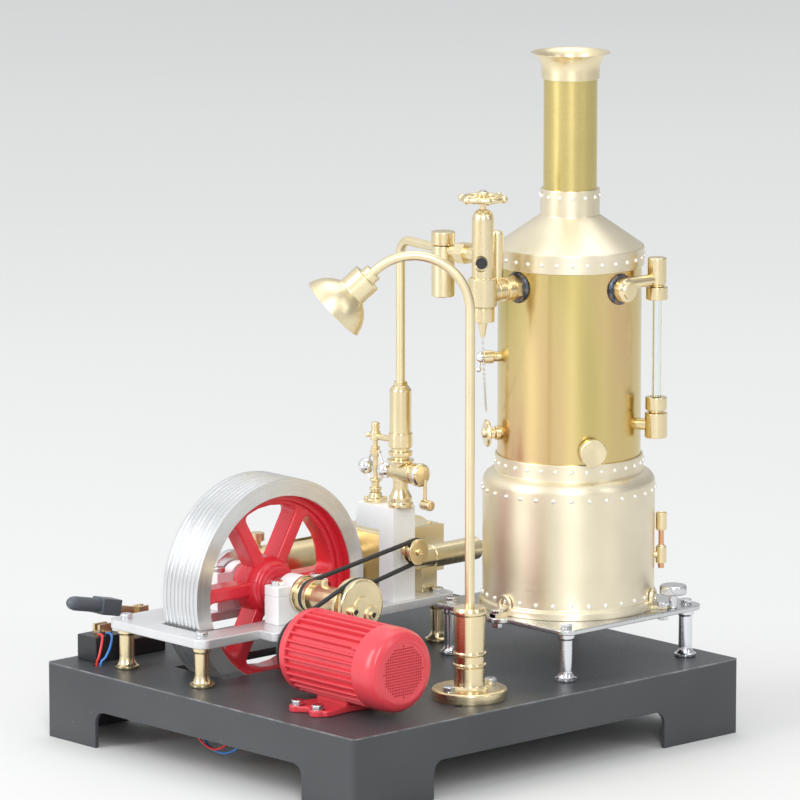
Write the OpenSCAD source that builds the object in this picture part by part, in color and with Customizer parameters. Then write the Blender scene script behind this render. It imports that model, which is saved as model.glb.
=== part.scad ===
// Model steam plant: an upright boiler, a horizontal engine with its governor, a belt-driven
// generator, a street lamp and a knife switch, all on one folded steel tray.
// Millimetres. The origin is the centre of the tray's footprint, on the table. +Z is up.

/* [Tray] */
// Length of the tray along X
tray_x = 250; // [240:1:270]
// Depth of the tray along Y
tray_y = 220; // [210:1:240]
// Height of the tray's top above the table
tray_z = 36.4; // [36:0.2:37]
// Thickness of the tray's sheet
sheet = 2; // [1.5:0.1:2.4]
// Height of the openings in the tray's four sides
tray_cut_z = 18.2; // [14:0.2:20]

/* [Boiler] */
// Radius of the boiler's pressure shell
shell_r = 34.4; // [34:0.1:34.6]
// Wall thickness of the shell
shell_wall = 1.5; // [1:0.1:2]
// Radius of the firebox
firebox_r = 41.4; // [40.8:0.1:41.8]
// Number of rivets in each seam
seam_rivets = 30; // [24:1:34]
// Radius of the chimney tube
chimney_r = 12.8; // [12.4:0.1:13]

/* [Engine] */
// Radius of the flywheel
flywheel_r = 53.3; // [52:0.1:54]
// Width of the flywheel's rim
flywheel_w = 25; // [22:0.5:25]
// Number of flywheel spokes
spokes = 6; // [5:1:8]
// Radius of the crank pin's circle
crank_r = 10; // [8:0.5:10]
// Height of the crankshaft's axis above the table
crank_z = 74; // [73.8:0.1:74.2]

/* [Generator] */
// Radius of the generator's housing
generator_r = 20; // [18:0.5:20]
// Number of cooling fins round the housing
fins = 30; // [20:1:36]

/* [Lamp] */
// Height of the straight part of the lamp's post above the table
lamp_post_z = 220; // [200:1:225]
// Radius of the swan neck
lamp_neck_r = 26.3; // [22:0.1:28]

/* [Hidden] */
$fn = 64;
eps = 0.02;
running_gap = 0.05;

// Tray
foot_x = 50;
foot_y = 36;
cut_r = 6;
slot_x = [-87, -7];
slot_y = [24, 60];

// Boiler, all heights above the table
boiler = [70, -48.5];
leg_pitch = 80;
plate_z = 59.7;
plate_t = 2.5;
plate_side = 94;
plate_hole_r = 32;
firebox_z = plate_z + plate_t;
lip_r = firebox_r + 1.4;
shoulder_z = 124.5;
neck_r = shell_r + 1.2;
neck_top = 136.2;
skirt_z = 227.7;
skirt_top = 236.8;
collar_r = chimney_r + 1.4;
collar_z = 251.7;
collar_top = 264.4;
bell_z = 317;
bell_top = 329.4;
bell_r = 19.1;
steam_boss_z = 220;
plug_angle = 243.5;
plug_z = 142.5;
gauge = [boiler[0] + 21, boiler[1] - 38];
cock_angle = 150;
lug_angles = [60, 180, 300];

// Stop valve, lubricator and steam pipe
valve = [13, boiler[1]];
lubricator_at = [13, -21];
pipe_z = 237.5;
pipe_r = 2.25;
pipe_bend_r = 8;
pipe_low = 166;
throttle_at = [20, 16.5];
throttle_z = 124;
throttle_face = 5.2;
coupling_r = 5.8;

// Engine bed and shaft
bed_z = 56;
bed_t = 4.5;
bed_x = [-112, 53];
bed_y = [11, 81];
tongue_x = [-75, -19];
shaft = [-47, crank_z];
shaft_r = 4;
flywheel_y = 40.5;
rim_t = 8.6;
front_bearing_y = [12, 22];
rear_bearing_y = [56, 62];
bearing_w = 32;
crank_disc_y = [62.6, 66];
crank_disc_r = 13.4;
pin_r = 2;
rod_y = [68, 71];
rod_length = 34;
piston_r = 9;
engine_y = (rod_y[0] + rod_y[1]) / 2;
wrist_x = shaft[0] + crank_r + rod_length;

// Governor
column_x = [12.8, 27.2];
column_y = [14, 24];
shelf_y = [14, 40.5];
shelf_z = 95;
column_top = 106.5;
governor_at = [20, 34.5];
arm_pivot_z = 131;
arm_pivot_y = 2.5;
ball_y = 6.9;
ball_z = 123;
ball_r = 4;
governor_pulley_y = 6;
governor_pulley_z = 86;

// Belts
belt_r = 1.1;
belt_gap = 0.25;
governor_pulley_pitch = 5.6;
drum_pitch = 7;
generator_belt_y = -26;
drive_pitch = 12.6;
generator_pitch = 14;

// Generator
generator_at = [-81, 59];
generator_foot_z = 3;

// Lamp and switch
lamp = [-27.6, -83.2];
lamp_heading = 137.5;
neck_sweep = 135;
switch_pivot = [-76, 98, 56];
switch_tilt = 12;

// Shared shapes

// A solid turned about Z from [radius, height] points.
module lathe(points) rotate_extrude() polygon(points);

// A round bar from p to q.
module bar(p, q, r) {
    d = q - p;
    flat = norm([d[0], d[1]]);
    translate(p) rotate([0, atan2(flat, d[2]), atan2(d[1], d[0])]) cylinder(h = norm(d), r = r);
}

// A bar along Y from y[0] to y[1].
module bar_y(x, z, y, r) translate([x, y[0], z]) rotate([-90, 0, 0])
    cylinder(h = y[1] - y[0], r = r);

// A plate with round corners between two opposite corners.
module plate(low, high, z, t, r) translate([low[0], low[1], z]) linear_extrude(t) {
    w = high[0] - low[0];
    d = high[1] - low[1];
    translate([r, 0]) square([w - 2 * r, d]);
    translate([0, r]) square([w, d - 2 * r]);
    for (x = [r, w - r], y = [r, d - r]) translate([x, y]) circle(r = r);
}

// An opening with round top corners, cut along Y.
module archway(w, h, r, depth) rotate([90, 0, 0]) translate([0, 0, -depth / 2]) linear_extrude(depth) {
    translate([-w / 2, -1]) square([w, h - r + 1]);
    translate([-w / 2 + r, -1]) square([w - 2 * r, h + 1]);
    for (s = [-1, 1]) translate([s * (w / 2 - r), h - r]) circle(r = r);
}

// A hexagon bolt whose head sits on z = 0 and whose shank goes down.
module hex_bolt(shank = 4, head = 2.4) {
    cylinder(h = head, r = 3.1, $fn = 6);
    translate([0, 0, -shank]) cylinder(h = shank + eps, r = 1.5);
}

// A turned leg from z = 0 up, with a flared foot and a collar.
module turned_leg(h, r, foot) {
    flare = foot - r;
    arc = [for (a = [0:15:90]) [r + flare * (1 - sin(a)), 1.6 + flare * 1.8 * (1 - cos(a))]];
    lathe(concat([[0, 0], [foot - 0.4, 0], [foot, 0.5], [foot, 1.4]], arc,
        [[r, h - 3.2], [r + 0.8, h - 2.4], [r + 0.8, h], [0, h]]));
}

// Children stand on the boiler's side at angle a and height z, with +X pointing outwards.
module at_boiler(a, z, r = 0) translate([boiler[0], boiler[1], z]) rotate([0, 0, a])
    translate([r, 0, 0]) children();

// A knurled or plain round nut about Z.
module round_nut(r, h, bore) difference() {
    lathe([[0, 0], [r - 0.4, 0], [r, 0.4], [r, h - 0.4], [r - 0.4, h], [0, h]]);
    translate([0, 0, -1]) cylinder(h = h + 2, r = bore);
}

function unit(v) = v / norm(v);

// A round belt in a plane of constant Y, through points that run once round a loop.
module loop_tube(p, r, sides = 8) {
    n = len(p);
    rings = [for (i = [0:n - 1])
        let (d = unit(p[(i + 1) % n] - p[(i + n - 1) % n]), v = cross(d, [0, 1, 0]))
        for (k = [0:sides - 1])
            p[i] + r * (cos(360 * k / sides) * [0, 1, 0] + sin(360 * k / sides) * v)];
    walls = [for (i = [0:n - 1], k = [0:sides - 1]) let (j = (i + 1) % n, m = (k + 1) % sides)
        [i * sides + k, i * sides + m, j * sides + m, j * sides + k]];
    polyhedron(rings, walls, convexity = 6);
}

// A round tube through a list of points, as one closed mesh.
function heading(p, i) = unit(p[min(i + 1, len(p) - 1)] - p[max(i - 1, 0)]);
function side_of(d) = unit(cross(d, abs(d[2]) > 0.9 ? [1, 0, 0] : [0, 0, 1]));
module tube(p, r, sides = 8) {
    n = len(p);
    rings = [for (i = [0:n - 1]) let (d = heading(p, i), u = side_of(d), v = cross(d, u))
        for (k = [0:sides - 1]) p[i] + r * (cos(360 * k / sides) * u + sin(360 * k / sides) * v)];
    walls = [for (i = [0:n - 2], k = [0:sides - 1]) let (j = i + 1, m = (k + 1) % sides)
        [i * sides + k, i * sides + m, j * sides + m, j * sides + k]];
    start = [for (k = [sides - 1:-1:0]) k];
    end = [for (k = [0:sides - 1]) (n - 1) * sides + k];
    polyhedron(rings, concat(walls, [start, end]), convexity = 4);
}

// Points of a line from p to q that sags in the middle.
function sagging(p, q, sag, n) = [for (i = [0:n])
    let (t = i / n) p + (q - p) * t - [0, 0, 4 * sag * t * (1 - t)]];

// Tray

module base_tray() {
    color("#35373a")
    difference() {
        plate([-tray_x / 2, -tray_y / 2], [tray_x / 2, tray_y / 2], 0, tray_z, 2.5);
        translate([sheet - tray_x / 2, sheet - tray_y / 2, -1])
            cube([tray_x - 2 * sheet, tray_y - 2 * sheet, tray_z - sheet + 1]);
        archway(tray_x - 2 * foot_x, tray_cut_z, cut_r, tray_y + 2);
        rotate([0, 0, 90]) archway(tray_y - 2 * foot_y, tray_cut_z, cut_r, tray_x + 2);
        translate([slot_x[0], slot_y[0], tray_z - sheet - 1])
            cube([slot_x[1] - slot_x[0], slot_y[1] - slot_y[0], sheet + 2]);
        translate([-112, 87.5, tray_z - 5]) cylinder(h = 10, r = 2.4);
        translate([-44, -93, tray_z - 5]) cylinder(h = 10, r = 2);
    }
}

// Boiler

module boiler_plate() {
    half = plate_side / 2;
    color("#c9ccd0")
    difference() {
        union() {
            plate(boiler - [half, half], boiler + [half, half], plate_z, plate_t, 7);
            for (a = lug_angles) at_boiler(a, plate_z, 44) cylinder(h = plate_t, r = 7.5);
        }
        translate([boiler[0], boiler[1], plate_z - 1]) cylinder(h = plate_t + 2, r = plate_hole_r);
    }
}

module boiler_legs() {
    color("#c5c8cc")
    for (x = [-1, 1], y = [-1, 1])
        translate([boiler[0] + x * leg_pitch / 2, boiler[1] + y * leg_pitch / 2, tray_z])
            turned_leg(plate_z - tray_z, 3.3, 5.3);
}

module firebox() {
    shoulder = [for (a = [0:15:90]) [neck_r + (firebox_r - neck_r) * cos(a), shoulder_z - 2 + 5.5 * sin(a)]];
    color("#d9cba0")
    translate([boiler[0], boiler[1], 0])
        lathe(concat([[firebox_r - 1.2, firebox_z], [lip_r, firebox_z], [lip_r, firebox_z + 3.4],
            [firebox_r, firebox_z + 4.4]], shoulder,
            [[neck_r, neck_top], [shell_r, neck_top], [shell_r, shoulder_z + 1.5],
            [firebox_r - 1.2, shoulder_z - 3]]));
}

// One snap-head rivet that points outwards along +X, with its root in the wall.
module rivet() rotate([0, 90, 0]) hull() {
    translate([0, 0, -0.5]) cylinder(h = 0.8, r = 1.05, $fn = 6);
    cylinder(h = 1, r = 0.5, $fn = 6);
}

module rivet_ring(r, z, count) for (i = [0:count - 1]) at_boiler(360 * i / count, z, r) rivet();

module rivets() {
    color("#eceae2") {
        rivet_ring(firebox_r, 68.9, seam_rivets);
        rivet_ring(firebox_r, 119.8, seam_rivets);
        rivet_ring(neck_r, 132.8, seam_rivets);
        rivet_ring(neck_r, 232, seam_rivets);
        rivet_ring(collar_r, 261, 14);
    }
}

module firebox_lugs() {
    color("#d8c48c")
    for (a = lug_angles) at_boiler(a, firebox_z) difference() {
        union() {
            translate([firebox_r - 1, -2, 0]) cube([9.4, 4, 1.6]);
            translate([firebox_r - 1, 0, 5.6]) rotate([0, 90, 0]) cylinder(h = 2.8, r = 4.4);
        }
        translate([firebox_r - 2, 0, 5.6]) rotate([0, 90, 0]) cylinder(h = 6, r = 2.6);
        translate([0, 0, -1]) cylinder(h = 4.4, r = lip_r - 0.05, $fn = 256);
        translate([0, 0, -1]) cylinder(h = 20, r = firebox_r - 0.05, $fn = 256);
    }
}

module boiler_shell() {
    low = shoulder_z + 1.5;
    high = skirt_top - 1;
    color("#cdb562")
    difference() {
        translate([boiler[0], boiler[1], low]) difference() {
            cylinder(h = high - low, r = shell_r, $fn = 128);
            translate([0, 0, 2]) cylinder(h = high - low - 4, r = shell_r - shell_wall, $fn = 128);
        }
        at_boiler(plug_angle, plug_z) rotate([0, 90, 0]) cylinder(h = 60, r = 4);
        at_boiler(180, steam_boss_z) rotate([0, 90, 0]) cylinder(h = 60, r = 3);
        at_boiler(270, steam_boss_z - 0.5) rotate([0, 90, 0]) cylinder(h = 60, r = 3);
    }
}

module boss_ring(a, z, r, bore) at_boiler(a, z, shell_r - 0.7) rotate([0, 90, 0]) difference() {
    lathe([[bore, 0], [r, 0], [r + 0.3, 1], [r - 0.6, 1.9], [bore, 1.9]]);
    translate([0, 0, -1]) cylinder(h = 4, r = bore);
}

module boss_rings() {
    color("#4a4642") {
        boss_ring(180, steam_boss_z, 7.3, 3);
        boss_ring(270, steam_boss_z - 0.5, 7.3, 3);
        boss_ring(plug_angle, plug_z, 5.9, 4);
    }
}

module filler_plug() {
    color("#cfb878")
    at_boiler(plug_angle, plug_z, shell_r - 2.5) rotate([0, 90, 0])
        lathe([[0, 0], [4, 0], [4, 3.7], [6.6, 3.7], [6.6, 7], [6.2, 7.4], [0, 7.1]]);
}

module smokebox() {
    color("#d9cba0")
    translate([boiler[0], boiler[1], 0])
        lathe([[shell_r, skirt_z], [neck_r, skirt_z], [neck_r, skirt_top], [collar_r, collar_z],
            [collar_r, collar_top], [chimney_r, collar_top], [chimney_r, collar_z - 0.6],
            [shell_r, skirt_top - 0.6]]);
}

module chimney_tube() {
    color("#b9a23c")
    translate([boiler[0], boiler[1], collar_z])
        lathe([[chimney_r - 1.2, 0], [chimney_r, 0], [chimney_r, bell_z + 3 - collar_z],
            [chimney_r - 1.2, bell_z + 3 - collar_z]]);
}

module chimney_bell() {
    steps = 10;
    wall = 1;
    flare = bell_r - chimney_r - wall;
    rise = bell_top - bell_z - 4;
    outer = [for (i = [0:steps]) let (t = i / steps)
        [chimney_r + wall + flare * (1 - sqrt(1 - 0.96 * t * t)) / 0.8, bell_z + 4 + rise * t]];
    inner = [for (i = [steps:-1:0]) let (t = i / steps)
        [chimney_r + flare * (1 - sqrt(1 - 0.96 * t * t)) / 0.8, bell_z + 4 + rise * t]];
    color("#d7bd7c")
    translate([boiler[0], boiler[1], 0])
        lathe(concat([[chimney_r, bell_z], [chimney_r + wall, bell_z]], outer, inner));
}

module gauge_fittings() {
    glass_bore = 2.32;
    union_y = boiler[1] - shell_r - 1.2;
    elbow = [boiler[0] + 1.5, gauge[1], steam_boss_z - 0.5];
    color("#c9a85a") {
        difference() {
            union() {
                translate([gauge[0], gauge[1], 219]) lathe([[0, 0], [3.6, 0], [3.6, 1], [4.5, 1.4],
                    [4.5, 13.6], [4.1, 14], [0, 14]]);
                bar([elbow[0], elbow[1], elbow[2] + 3], [gauge[0] - 4, gauge[1], elbow[2] + 3], 2.8);
                translate([elbow[0], elbow[1], elbow[2]]) sphere(r = 4);
                translate([elbow[0], elbow[1], elbow[2]]) cylinder(h = 3, r = 2.8);
                translate([boiler[0], union_y, elbow[2]]) rotate([90, 0, 0])
                    lathe([[0, 0], [5.8, 0], [5.8, 4.2], [4, 5.4], [4, 6.4], [0, 6.4]]);
                bar([boiler[0], union_y + 3, elbow[2]], [boiler[0], elbow[1], elbow[2]], 2.98);
            }
            translate([gauge[0], gauge[1], 210]) cylinder(h = 14, r = glass_bore);
        }
        difference() {
            union() {
                translate([gauge[0], gauge[1], 146]) lathe([[0, 0], [5.2, 0], [5.4, 0.4], [5.4, 12],
                    [3.6, 12.4], [3.6, 13.4], [0, 13.4]]);
                bar([gauge[0], gauge[1], 152], [gauge[0] - 7.6, gauge[1] + 13, 152], 2.8);
            }
            translate([gauge[0], gauge[1], 156]) cylinder(h = 14, r = glass_bore);
        }
        for (z = [159.5, 212.8]) translate([gauge[0], gauge[1], z]) round_nut(5.2, 6.1, glass_bore);
    }
}

module gauge_glass() {
    color([0.9, 0.95, 0.96, 0.4])
    translate([gauge[0], gauge[1], 156.1]) difference() {
        cylinder(h = 67.8, r = 2.3);
        translate([0, 0, 0.5]) cylinder(h = 70, r = 1.4);
    }
}

module burner_jet() {
    jet = 44.6;
    color("#c9a85a")
    at_boiler(317, 86) {
        bar([firebox_r - 1.2, 0, 0], [jet, 0, 0], 1.8);
        translate([jet, 0, -4]) lathe([[0, 0], [2.6, 0], [2.6, 8], [1.7, 8.5], [1.7, 12], [0, 12]]);
        translate([jet, 0, 12]) lathe([[0, 0], [2.3, 0], [2.7, 1], [2.7, 8.6], [1.9, 8.6], [1.9, 6.5], [0, 6.5]]);
        translate([jet, 0, 7.8]) cylinder(h = 4.4, r = 1.5);
        translate([jet, 0, -6.5]) cylinder(h = 2.6, r = 1.5);
    }
}

module burner_screw() {
    color("#d5d7da")
    translate([boiler[0] + 28.5, boiler[1] - 43, plate_z + plate_t]) {
        lathe([[0, 0], [2, 0], [2, 7], [6.1, 7], [6.5, 7.4], [6.5, 10.8], [5.9, 11.4], [0, 11.4]]);
    }
}

// Stop valve, safety valve, lubricator

module stop_valve() {
    mouth = 4.2;
    color("#d2b46c")
    difference() {
        union() {
            translate([valve[0], valve[1], 0])
                lathe([[0, 199], [1.1, 199], [2.4, 206.5], [5.3, 206.5], [5.3, 213.5], [6.3, 213.5], [6.8, 214],
                    [6.8, 226.6], [6.3, 227.2], [5.2, 227.2], [5.2, 255], [4.7, 257.4], [3.4, 259.2], [2, 259.9],
                    [0, 259.9]]);
            translate([valve[0], valve[1], steam_boss_z]) rotate([0, 90, 0]) {
                translate([0, 0, 5]) cylinder(h = boiler[0] - shell_r - valve[0] - 2, r = 2.98);
                translate([0, 0, 5]) cylinder(h = 8, r = 4.6);
                translate([0, 0, 13]) cylinder(h = 5, r = 5.4);
                translate([0, 0, 18]) cylinder(h = 3.4, r = 6.2, $fn = 6);
            }
            translate([valve[0], valve[1], pipe_z]) rotate([-90, 0, 0]) {
                translate([0, 0, 4]) cylinder(h = 6, r = 3.4);
                translate([0, 0, 10]) cylinder(h = 6, r = 5.4, $fn = 6);
                translate([0, 0, 16]) cylinder(h = 6.2, r = 2.5);
            }
        }
        translate([valve[0], valve[1], 245]) cylinder(h = 20, r = 1.5 + running_gap);
        translate([valve[0] - 5.4, valve[1] - 4, 234.5]) sphere(r = mouth);
    }
}

module handwheel() {
    wheel_r = 9;
    color("#d9bd72")
    translate([valve[0], valve[1], 0]) {
        translate([0, 0, 246]) cylinder(h = 20, r = 1.5);
        translate([0, 0, 263]) lathe([[0, 0], [3, 0], [3, 4.6], [2, 5.4], [0, 5.4]]);
        translate([0, 0, 265]) rotate_extrude() translate([wheel_r, 0]) circle(r = 1.5, $fn = 24);
        for (a = [0:60:359]) rotate([0, 0, a]) {
            translate([2, 0, 265]) rotate([0, 90, 0]) cylinder(h = wheel_r - 2, r = 1);
            translate([wheel_r + 1.3, 0, 265]) sphere(r = 1.9, $fn = 24);
        }
    }
}

module safety_valve() {
    color("#cdb067")
    translate([valve[0] + 13, valve[1] + 4, 0])
        lathe([[0, 224.5], [3, 224.5], [3, 246], [2.4, 247.6], [1, 248], [0, 248]]);
}

module lubricator() {
    color("#d2b46c")
    translate([lubricator_at[0], lubricator_at[1], 0]) difference() {
        lathe([[0, 215], [5.1, 215], [5.5, 215.4], [5.5, 239.4], [4.2, 239.8], [4.2, 240], [0, 240]]);
        translate([0, 0, 234]) cylinder(h = 10, r = 2 + running_gap);
    }
}

module lubricator_cap() {
    color("#d6b970")
    translate([lubricator_at[0], lubricator_at[1], 0])
        lathe([[0, 236], [2, 236], [2, 240.1], [5.2, 240.1], [5.7, 240.6], [5.7, 245.6], [5.2, 246.2],
            [0, 246.2]]);
}

// Side cocks of the boiler: the try cock above, the blow-down valve below.
module boiler_cocks() {
    color("#c9a85a") {
        at_boiler(cock_angle, 184) rotate([0, 90, 0]) translate([0, 0, shell_r - 1]) difference() {
            lathe([[0, 0], [2.4, 0], [2.4, 4], [3.2, 4.4], [3.2, 9], [0, 9]]);
            translate([0, 0, 5]) cylinder(h = 6, r = 1.2 + running_gap);
        }
        at_boiler(cock_angle, 147) rotate([0, 90, 0]) translate([0, 0, shell_r - 1]) difference() {
            lathe([[0, 0], [3.4, 0], [3.4, 3], [2.6, 3.4], [2.6, 6], [0, 6]]);
            translate([0, 0, 3]) cylinder(h = 6, r = 1.2 + running_gap);
        }
    }
}

module try_cock_lever() {
    color("#dfe2e6")
    at_boiler(cock_angle, 184, shell_r - 1) {
        rotate([0, 90, 0]) translate([0, 0, 5.4]) cylinder(h = 4.4, r = 1.2);
        translate([9.2, 0, 0]) rotate([0, 90, 0]) lathe([[0, 0], [2.6, 0], [2.9, 1.4], [1.6, 3], [0, 3]]);
        bar([10.6, 0, 0], [11.2, 0, -6], 0.8);
        translate([11.2, 0, -6]) sphere(r = 1.3, $fn = 24);
    }
}

module blowdown_wheel() {
    color("#d2b46c")
    at_boiler(cock_angle, 147, shell_r - 1) rotate([0, 90, 0]) {
        translate([0, 0, 3.4]) cylinder(h = 3, r = 1.2);
        translate([0, 0, 6.1])
            lathe([[0, 0], [6.2, 0], [6.7, 0.6], [6.2, 1.9], [2.4, 2.1], [2.2, 3.4], [0, 3.4]]);
    }
}

module valve_chain() {
    hook = [valve[0], valve[1], 199.4];
    ring = [boiler[0] + 38 * cos(cock_angle), boiler[1] + 38 * sin(cock_angle) + 4, 157];
    color("#c9ccd0") tube(sagging(hook, ring, 3, 14), 0.5);
}

// Steam pipe to the engine

module steam_pipe() {
    run = [throttle_at[0] - lubricator_at[0], throttle_at[1] - lubricator_at[1]];
    turn = atan2(run[1], run[0]);
    reach = norm(run);
    color("#c6a64c")
    translate([lubricator_at[0], lubricator_at[1], 0]) rotate([0, 0, turn]) {
        bar([5, 0, pipe_z], [reach - pipe_bend_r, 0, pipe_z], pipe_r);
        translate([reach - pipe_bend_r, 0, pipe_z - pipe_bend_r]) rotate([90, 0, 0])
            rotate_extrude(angle = 90) translate([pipe_bend_r, 0]) circle(r = pipe_r);
        translate([reach, 0, pipe_low]) cylinder(h = pipe_z - pipe_bend_r - pipe_low, r = pipe_r);
    }
}

module pipe_coupling() {
    color("#cbab5e")
    translate([throttle_at[0], throttle_at[1], 0]) difference() {
        lathe([[0, 129.9], [4.2, 129.9], [4.2, 131.4], [5.8, 131.8], [5.8, 133.9], [4.6, 134.2], [4.6, 135.4],
            [coupling_r, 135.8], [coupling_r, 142.9], [5.3, 143.2], [5.3, 164], [3.4, 167.6], [0, 167.6]]);
        translate([0, 0, pipe_low]) cylinder(h = 4, r = pipe_r);
    }
}

module throttle_valve() {
    x = throttle_at[0];
    stem = throttle_z - column_top;
    color("#cbab5e")
    difference() {
        union() {
            bar_y(x, throttle_z, [throttle_face, 20.5], 4.5);
            bar_y(x, throttle_z, [6.5, 12], 5.1);
            translate([x, throttle_at[1], column_top]) lathe([[0, 0], [6.3, 0], [6.3, 2], [5.6, 2.4],
                [5.6, 5], [4.4, 7.2], [3.7, 9], [3.7, stem], [0, stem]]);
            translate([x, throttle_at[1], throttle_z])
                lathe([[0, 0], [4.2, 0], [4.2, 4.6], [6.6, 4.9], [6.6, 5.9], [0, 5.9]]);
        }
        bar_y(x, throttle_z, [throttle_face - 2, throttle_face + 3.6], 1.5 + running_gap);
    }
}

module throttle_lever() {
    x = throttle_at[0];
    grip_x = x + 1.8;
    grip_z = throttle_z - 14.6;
    color("#d8b96e") {
        bar_y(x, throttle_z, [throttle_face - 1.2, throttle_face + 3.2], 1.5);
        translate([x, throttle_face - 0.2, throttle_z]) rotate([90, 0, 0])
            lathe([[0, 0], [5.3, 0], [5.6, 0.6], [5.6, 3], [4.6, 4.2], [0, 4.8]]);
        bar([grip_x, 1, throttle_z - 2], [grip_x, 1, grip_z], 0.9);
        bar_y(grip_x, grip_z, [-3.4, 2.6], 2.5);
    }
}

// Governor

module governor_standard() {
    w = column_x[1] - column_x[0];
    color("#eceef0")
    difference() {
        union() {
            translate([column_x[0], column_y[0], bed_z + bed_t])
                cube([w, column_y[1] - column_y[0], column_top - bed_z - bed_t]);
            translate([column_x[0], shelf_y[0], shelf_z])
                cube([w, shelf_y[1] - shelf_y[0], column_top - shelf_z]);
        }
        bar_y(governor_at[0], governor_pulley_z, [10, column_y[1] - 2], 1.5 + running_gap);
        translate([governor_at[0], governor_at[1], shelf_z + 2]) cylinder(h = 20, r = 1.25 + running_gap);
    }
}

// How far the top bracket reaches back to the pipe coupling.
function top_reach() = throttle_at[1] + coupling_r - governor_at[1];

module governor_base() {
    bore = 1.25 + running_gap;
    color("#c9a85a")
    translate([governor_at[0], governor_at[1], 0]) {
        difference() {
            lathe([[0, column_top], [5.8, column_top], [5.8, column_top + 1.8], [3.4, column_top + 2.4],
                [3, 111], [0, 111]]);
            translate([0, 0, 100]) cylinder(h = 20, r = bore);
        }
        difference() {
            union() {
                translate([0, 0, 137])
                    lathe([[0, 0], [2.6, 0], [2.6, 3.4], [2.1, 4], [2.1, 8], [1.7, 8.6], [0, 8.6]]);
                bar_y(0, 138.7, [top_reach(), -1], 1.5);
            }
            translate([0, 0, 130]) cylinder(h = 12, r = bore);
        }
    }
}

module governor_spindle() {
    color("#b9935a")
    translate([governor_at[0], governor_at[1], 0]) {
        translate([0, 0, shelf_z + 3]) cylinder(h = 41, r = 1.25);
        translate([0, 0, 111.1]) lathe([[0, 0], [2.4, 0], [2.4, 1], [0, 1]]);
        translate([0, 0, arm_pivot_z - 2]) difference() {
            lathe([[0, 0], [2.2, 0], [2.2, 4.6], [0, 4.6]]);
            for (s = [-1, 1]) translate([-0.75, s > 0 ? 1.3 : -6.3, -1]) cube([1.5, 5, 7]);
        }
    }
}

module governor_sleeve() {
    color("#cbab5e")
    translate([governor_at[0], governor_at[1], 112.2]) difference() {
        lathe([[0, 0], [3.1, 0], [3.1, 1.2], [2, 1.6], [2, 4], [2.8, 4.4], [2.8, 5.6], [0, 5.6]]);
        translate([0, 0, -1]) cylinder(h = 10, r = 1.25 + running_gap);
    }
}

// One arm with its ball, hung from the spindle's head, and the link down towards the sleeve.
module governor_arm(s) {
    color("#dfe1e4")
    translate([governor_at[0], governor_at[1], 0]) {
        bar([0, s * arm_pivot_y, arm_pivot_z], [0, s * ball_y, ball_z], 0.65);
        bar([0, s * ball_y, ball_z], [0, s * 3.9, 117.2], 0.45);
        translate([0, s * ball_y, ball_z]) sphere(r = ball_r);
    }
}
module governor_arm_left() governor_arm(1);
module governor_arm_right() governor_arm(-1);

// A grooved wheel about Y, centred on y, whose belt runs at radius pitch.
module grooved_wheel(x, y, z, r, w, pitch) {
    floor_r = pitch - belt_r - belt_gap;
    half = belt_r + running_gap;
    translate([x, y, z]) rotate([90, 0, 0]) translate([0, 0, -w / 2])
        lathe([[0, 0], [r, 0], [r, w / 2 - half], [floor_r, w / 2 - half], [floor_r, w / 2 + half],
            [r, w / 2 + half], [r, w], [0, w]]);
}

module governor_pulley() {
    color("#cbab5e") {
        grooved_wheel(governor_at[0], governor_pulley_y, governor_pulley_z, 6.3, 5.6, governor_pulley_pitch);
        bar_y(governor_at[0], governor_pulley_z, [governor_pulley_y, column_y[1] - 3], 1.5);
        bar_y(governor_at[0], governor_pulley_z, [governor_pulley_y + 2, column_y[0] - 0.1], 2.6);
        bar_y(governor_at[0], governor_pulley_z, [governor_pulley_y - 4.2, governor_pulley_y - 2], 1.8);
    }
}

// An open round belt in the plane y between wheels at a (radius ra) and b (radius rb), as [x, z].
module open_belt(a, ra, b, rb, y) {
    d = b - a;
    lie = atan2(d[1], d[0]);
    lean = acos((ra - rb) / norm(d));
    step = 15;
    around_a = [for (t = [lie + lean:step:lie + 360 - lean]) a + ra * [cos(t), sin(t)]];
    last_a = [a + ra * [cos(lie - lean), sin(lie - lean)]];
    around_b = [for (t = [lie - lean:step:lie + lean]) b + rb * [cos(t), sin(t)]];
    last_b = [b + rb * [cos(lie + lean), sin(lie + lean)]];
    loop_tube([for (p = concat(around_a, last_a, around_b, last_b)) [p[0], y, p[1]]], belt_r);
}

module belts() {
    color("#232426") {
        open_belt(shaft, drum_pitch, [governor_at[0], governor_pulley_z], governor_pulley_pitch,
            governor_pulley_y);
        open_belt(shaft, drive_pitch, generator_at, generator_pitch, generator_belt_y);
    }
}

// Engine

module engine_bed() {
    color("#e4e6e8")
    difference() {
        union() {
            plate([bed_x[0], bed_y[0]], [bed_x[1], bed_y[1]], bed_z, bed_t, 6);
            plate([tongue_x[0], 0], [tongue_x[1], 20], bed_z, bed_t, 4);
        }
        translate([-100, 26, bed_z - 1]) cube([106, 29, bed_t + 2]);
    }
}

module bed_legs() {
    color("#c6a862")
    for (p = [[-105, 19], [-105, 74], [45, 17], [45, 74]])
        translate([p[0], p[1], tray_z]) turned_leg(bed_z - tray_z, 3.6, 6);
}

module bearing_half(y, z, h) difference() {
    translate([shaft[0] - bearing_w / 2, y[0], z]) cube([bearing_w, y[1] - y[0], h]);
    bar_y(shaft[0], shaft[1], [y[0] - 1, y[1] + 1], shaft_r + running_gap);
}

module bearing_blocks() {
    color("#e4e6e8")
    for (y = [front_bearing_y, rear_bearing_y])
        bearing_half(y, bed_z + bed_t, shaft[1] - bed_z - bed_t);
}

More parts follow.
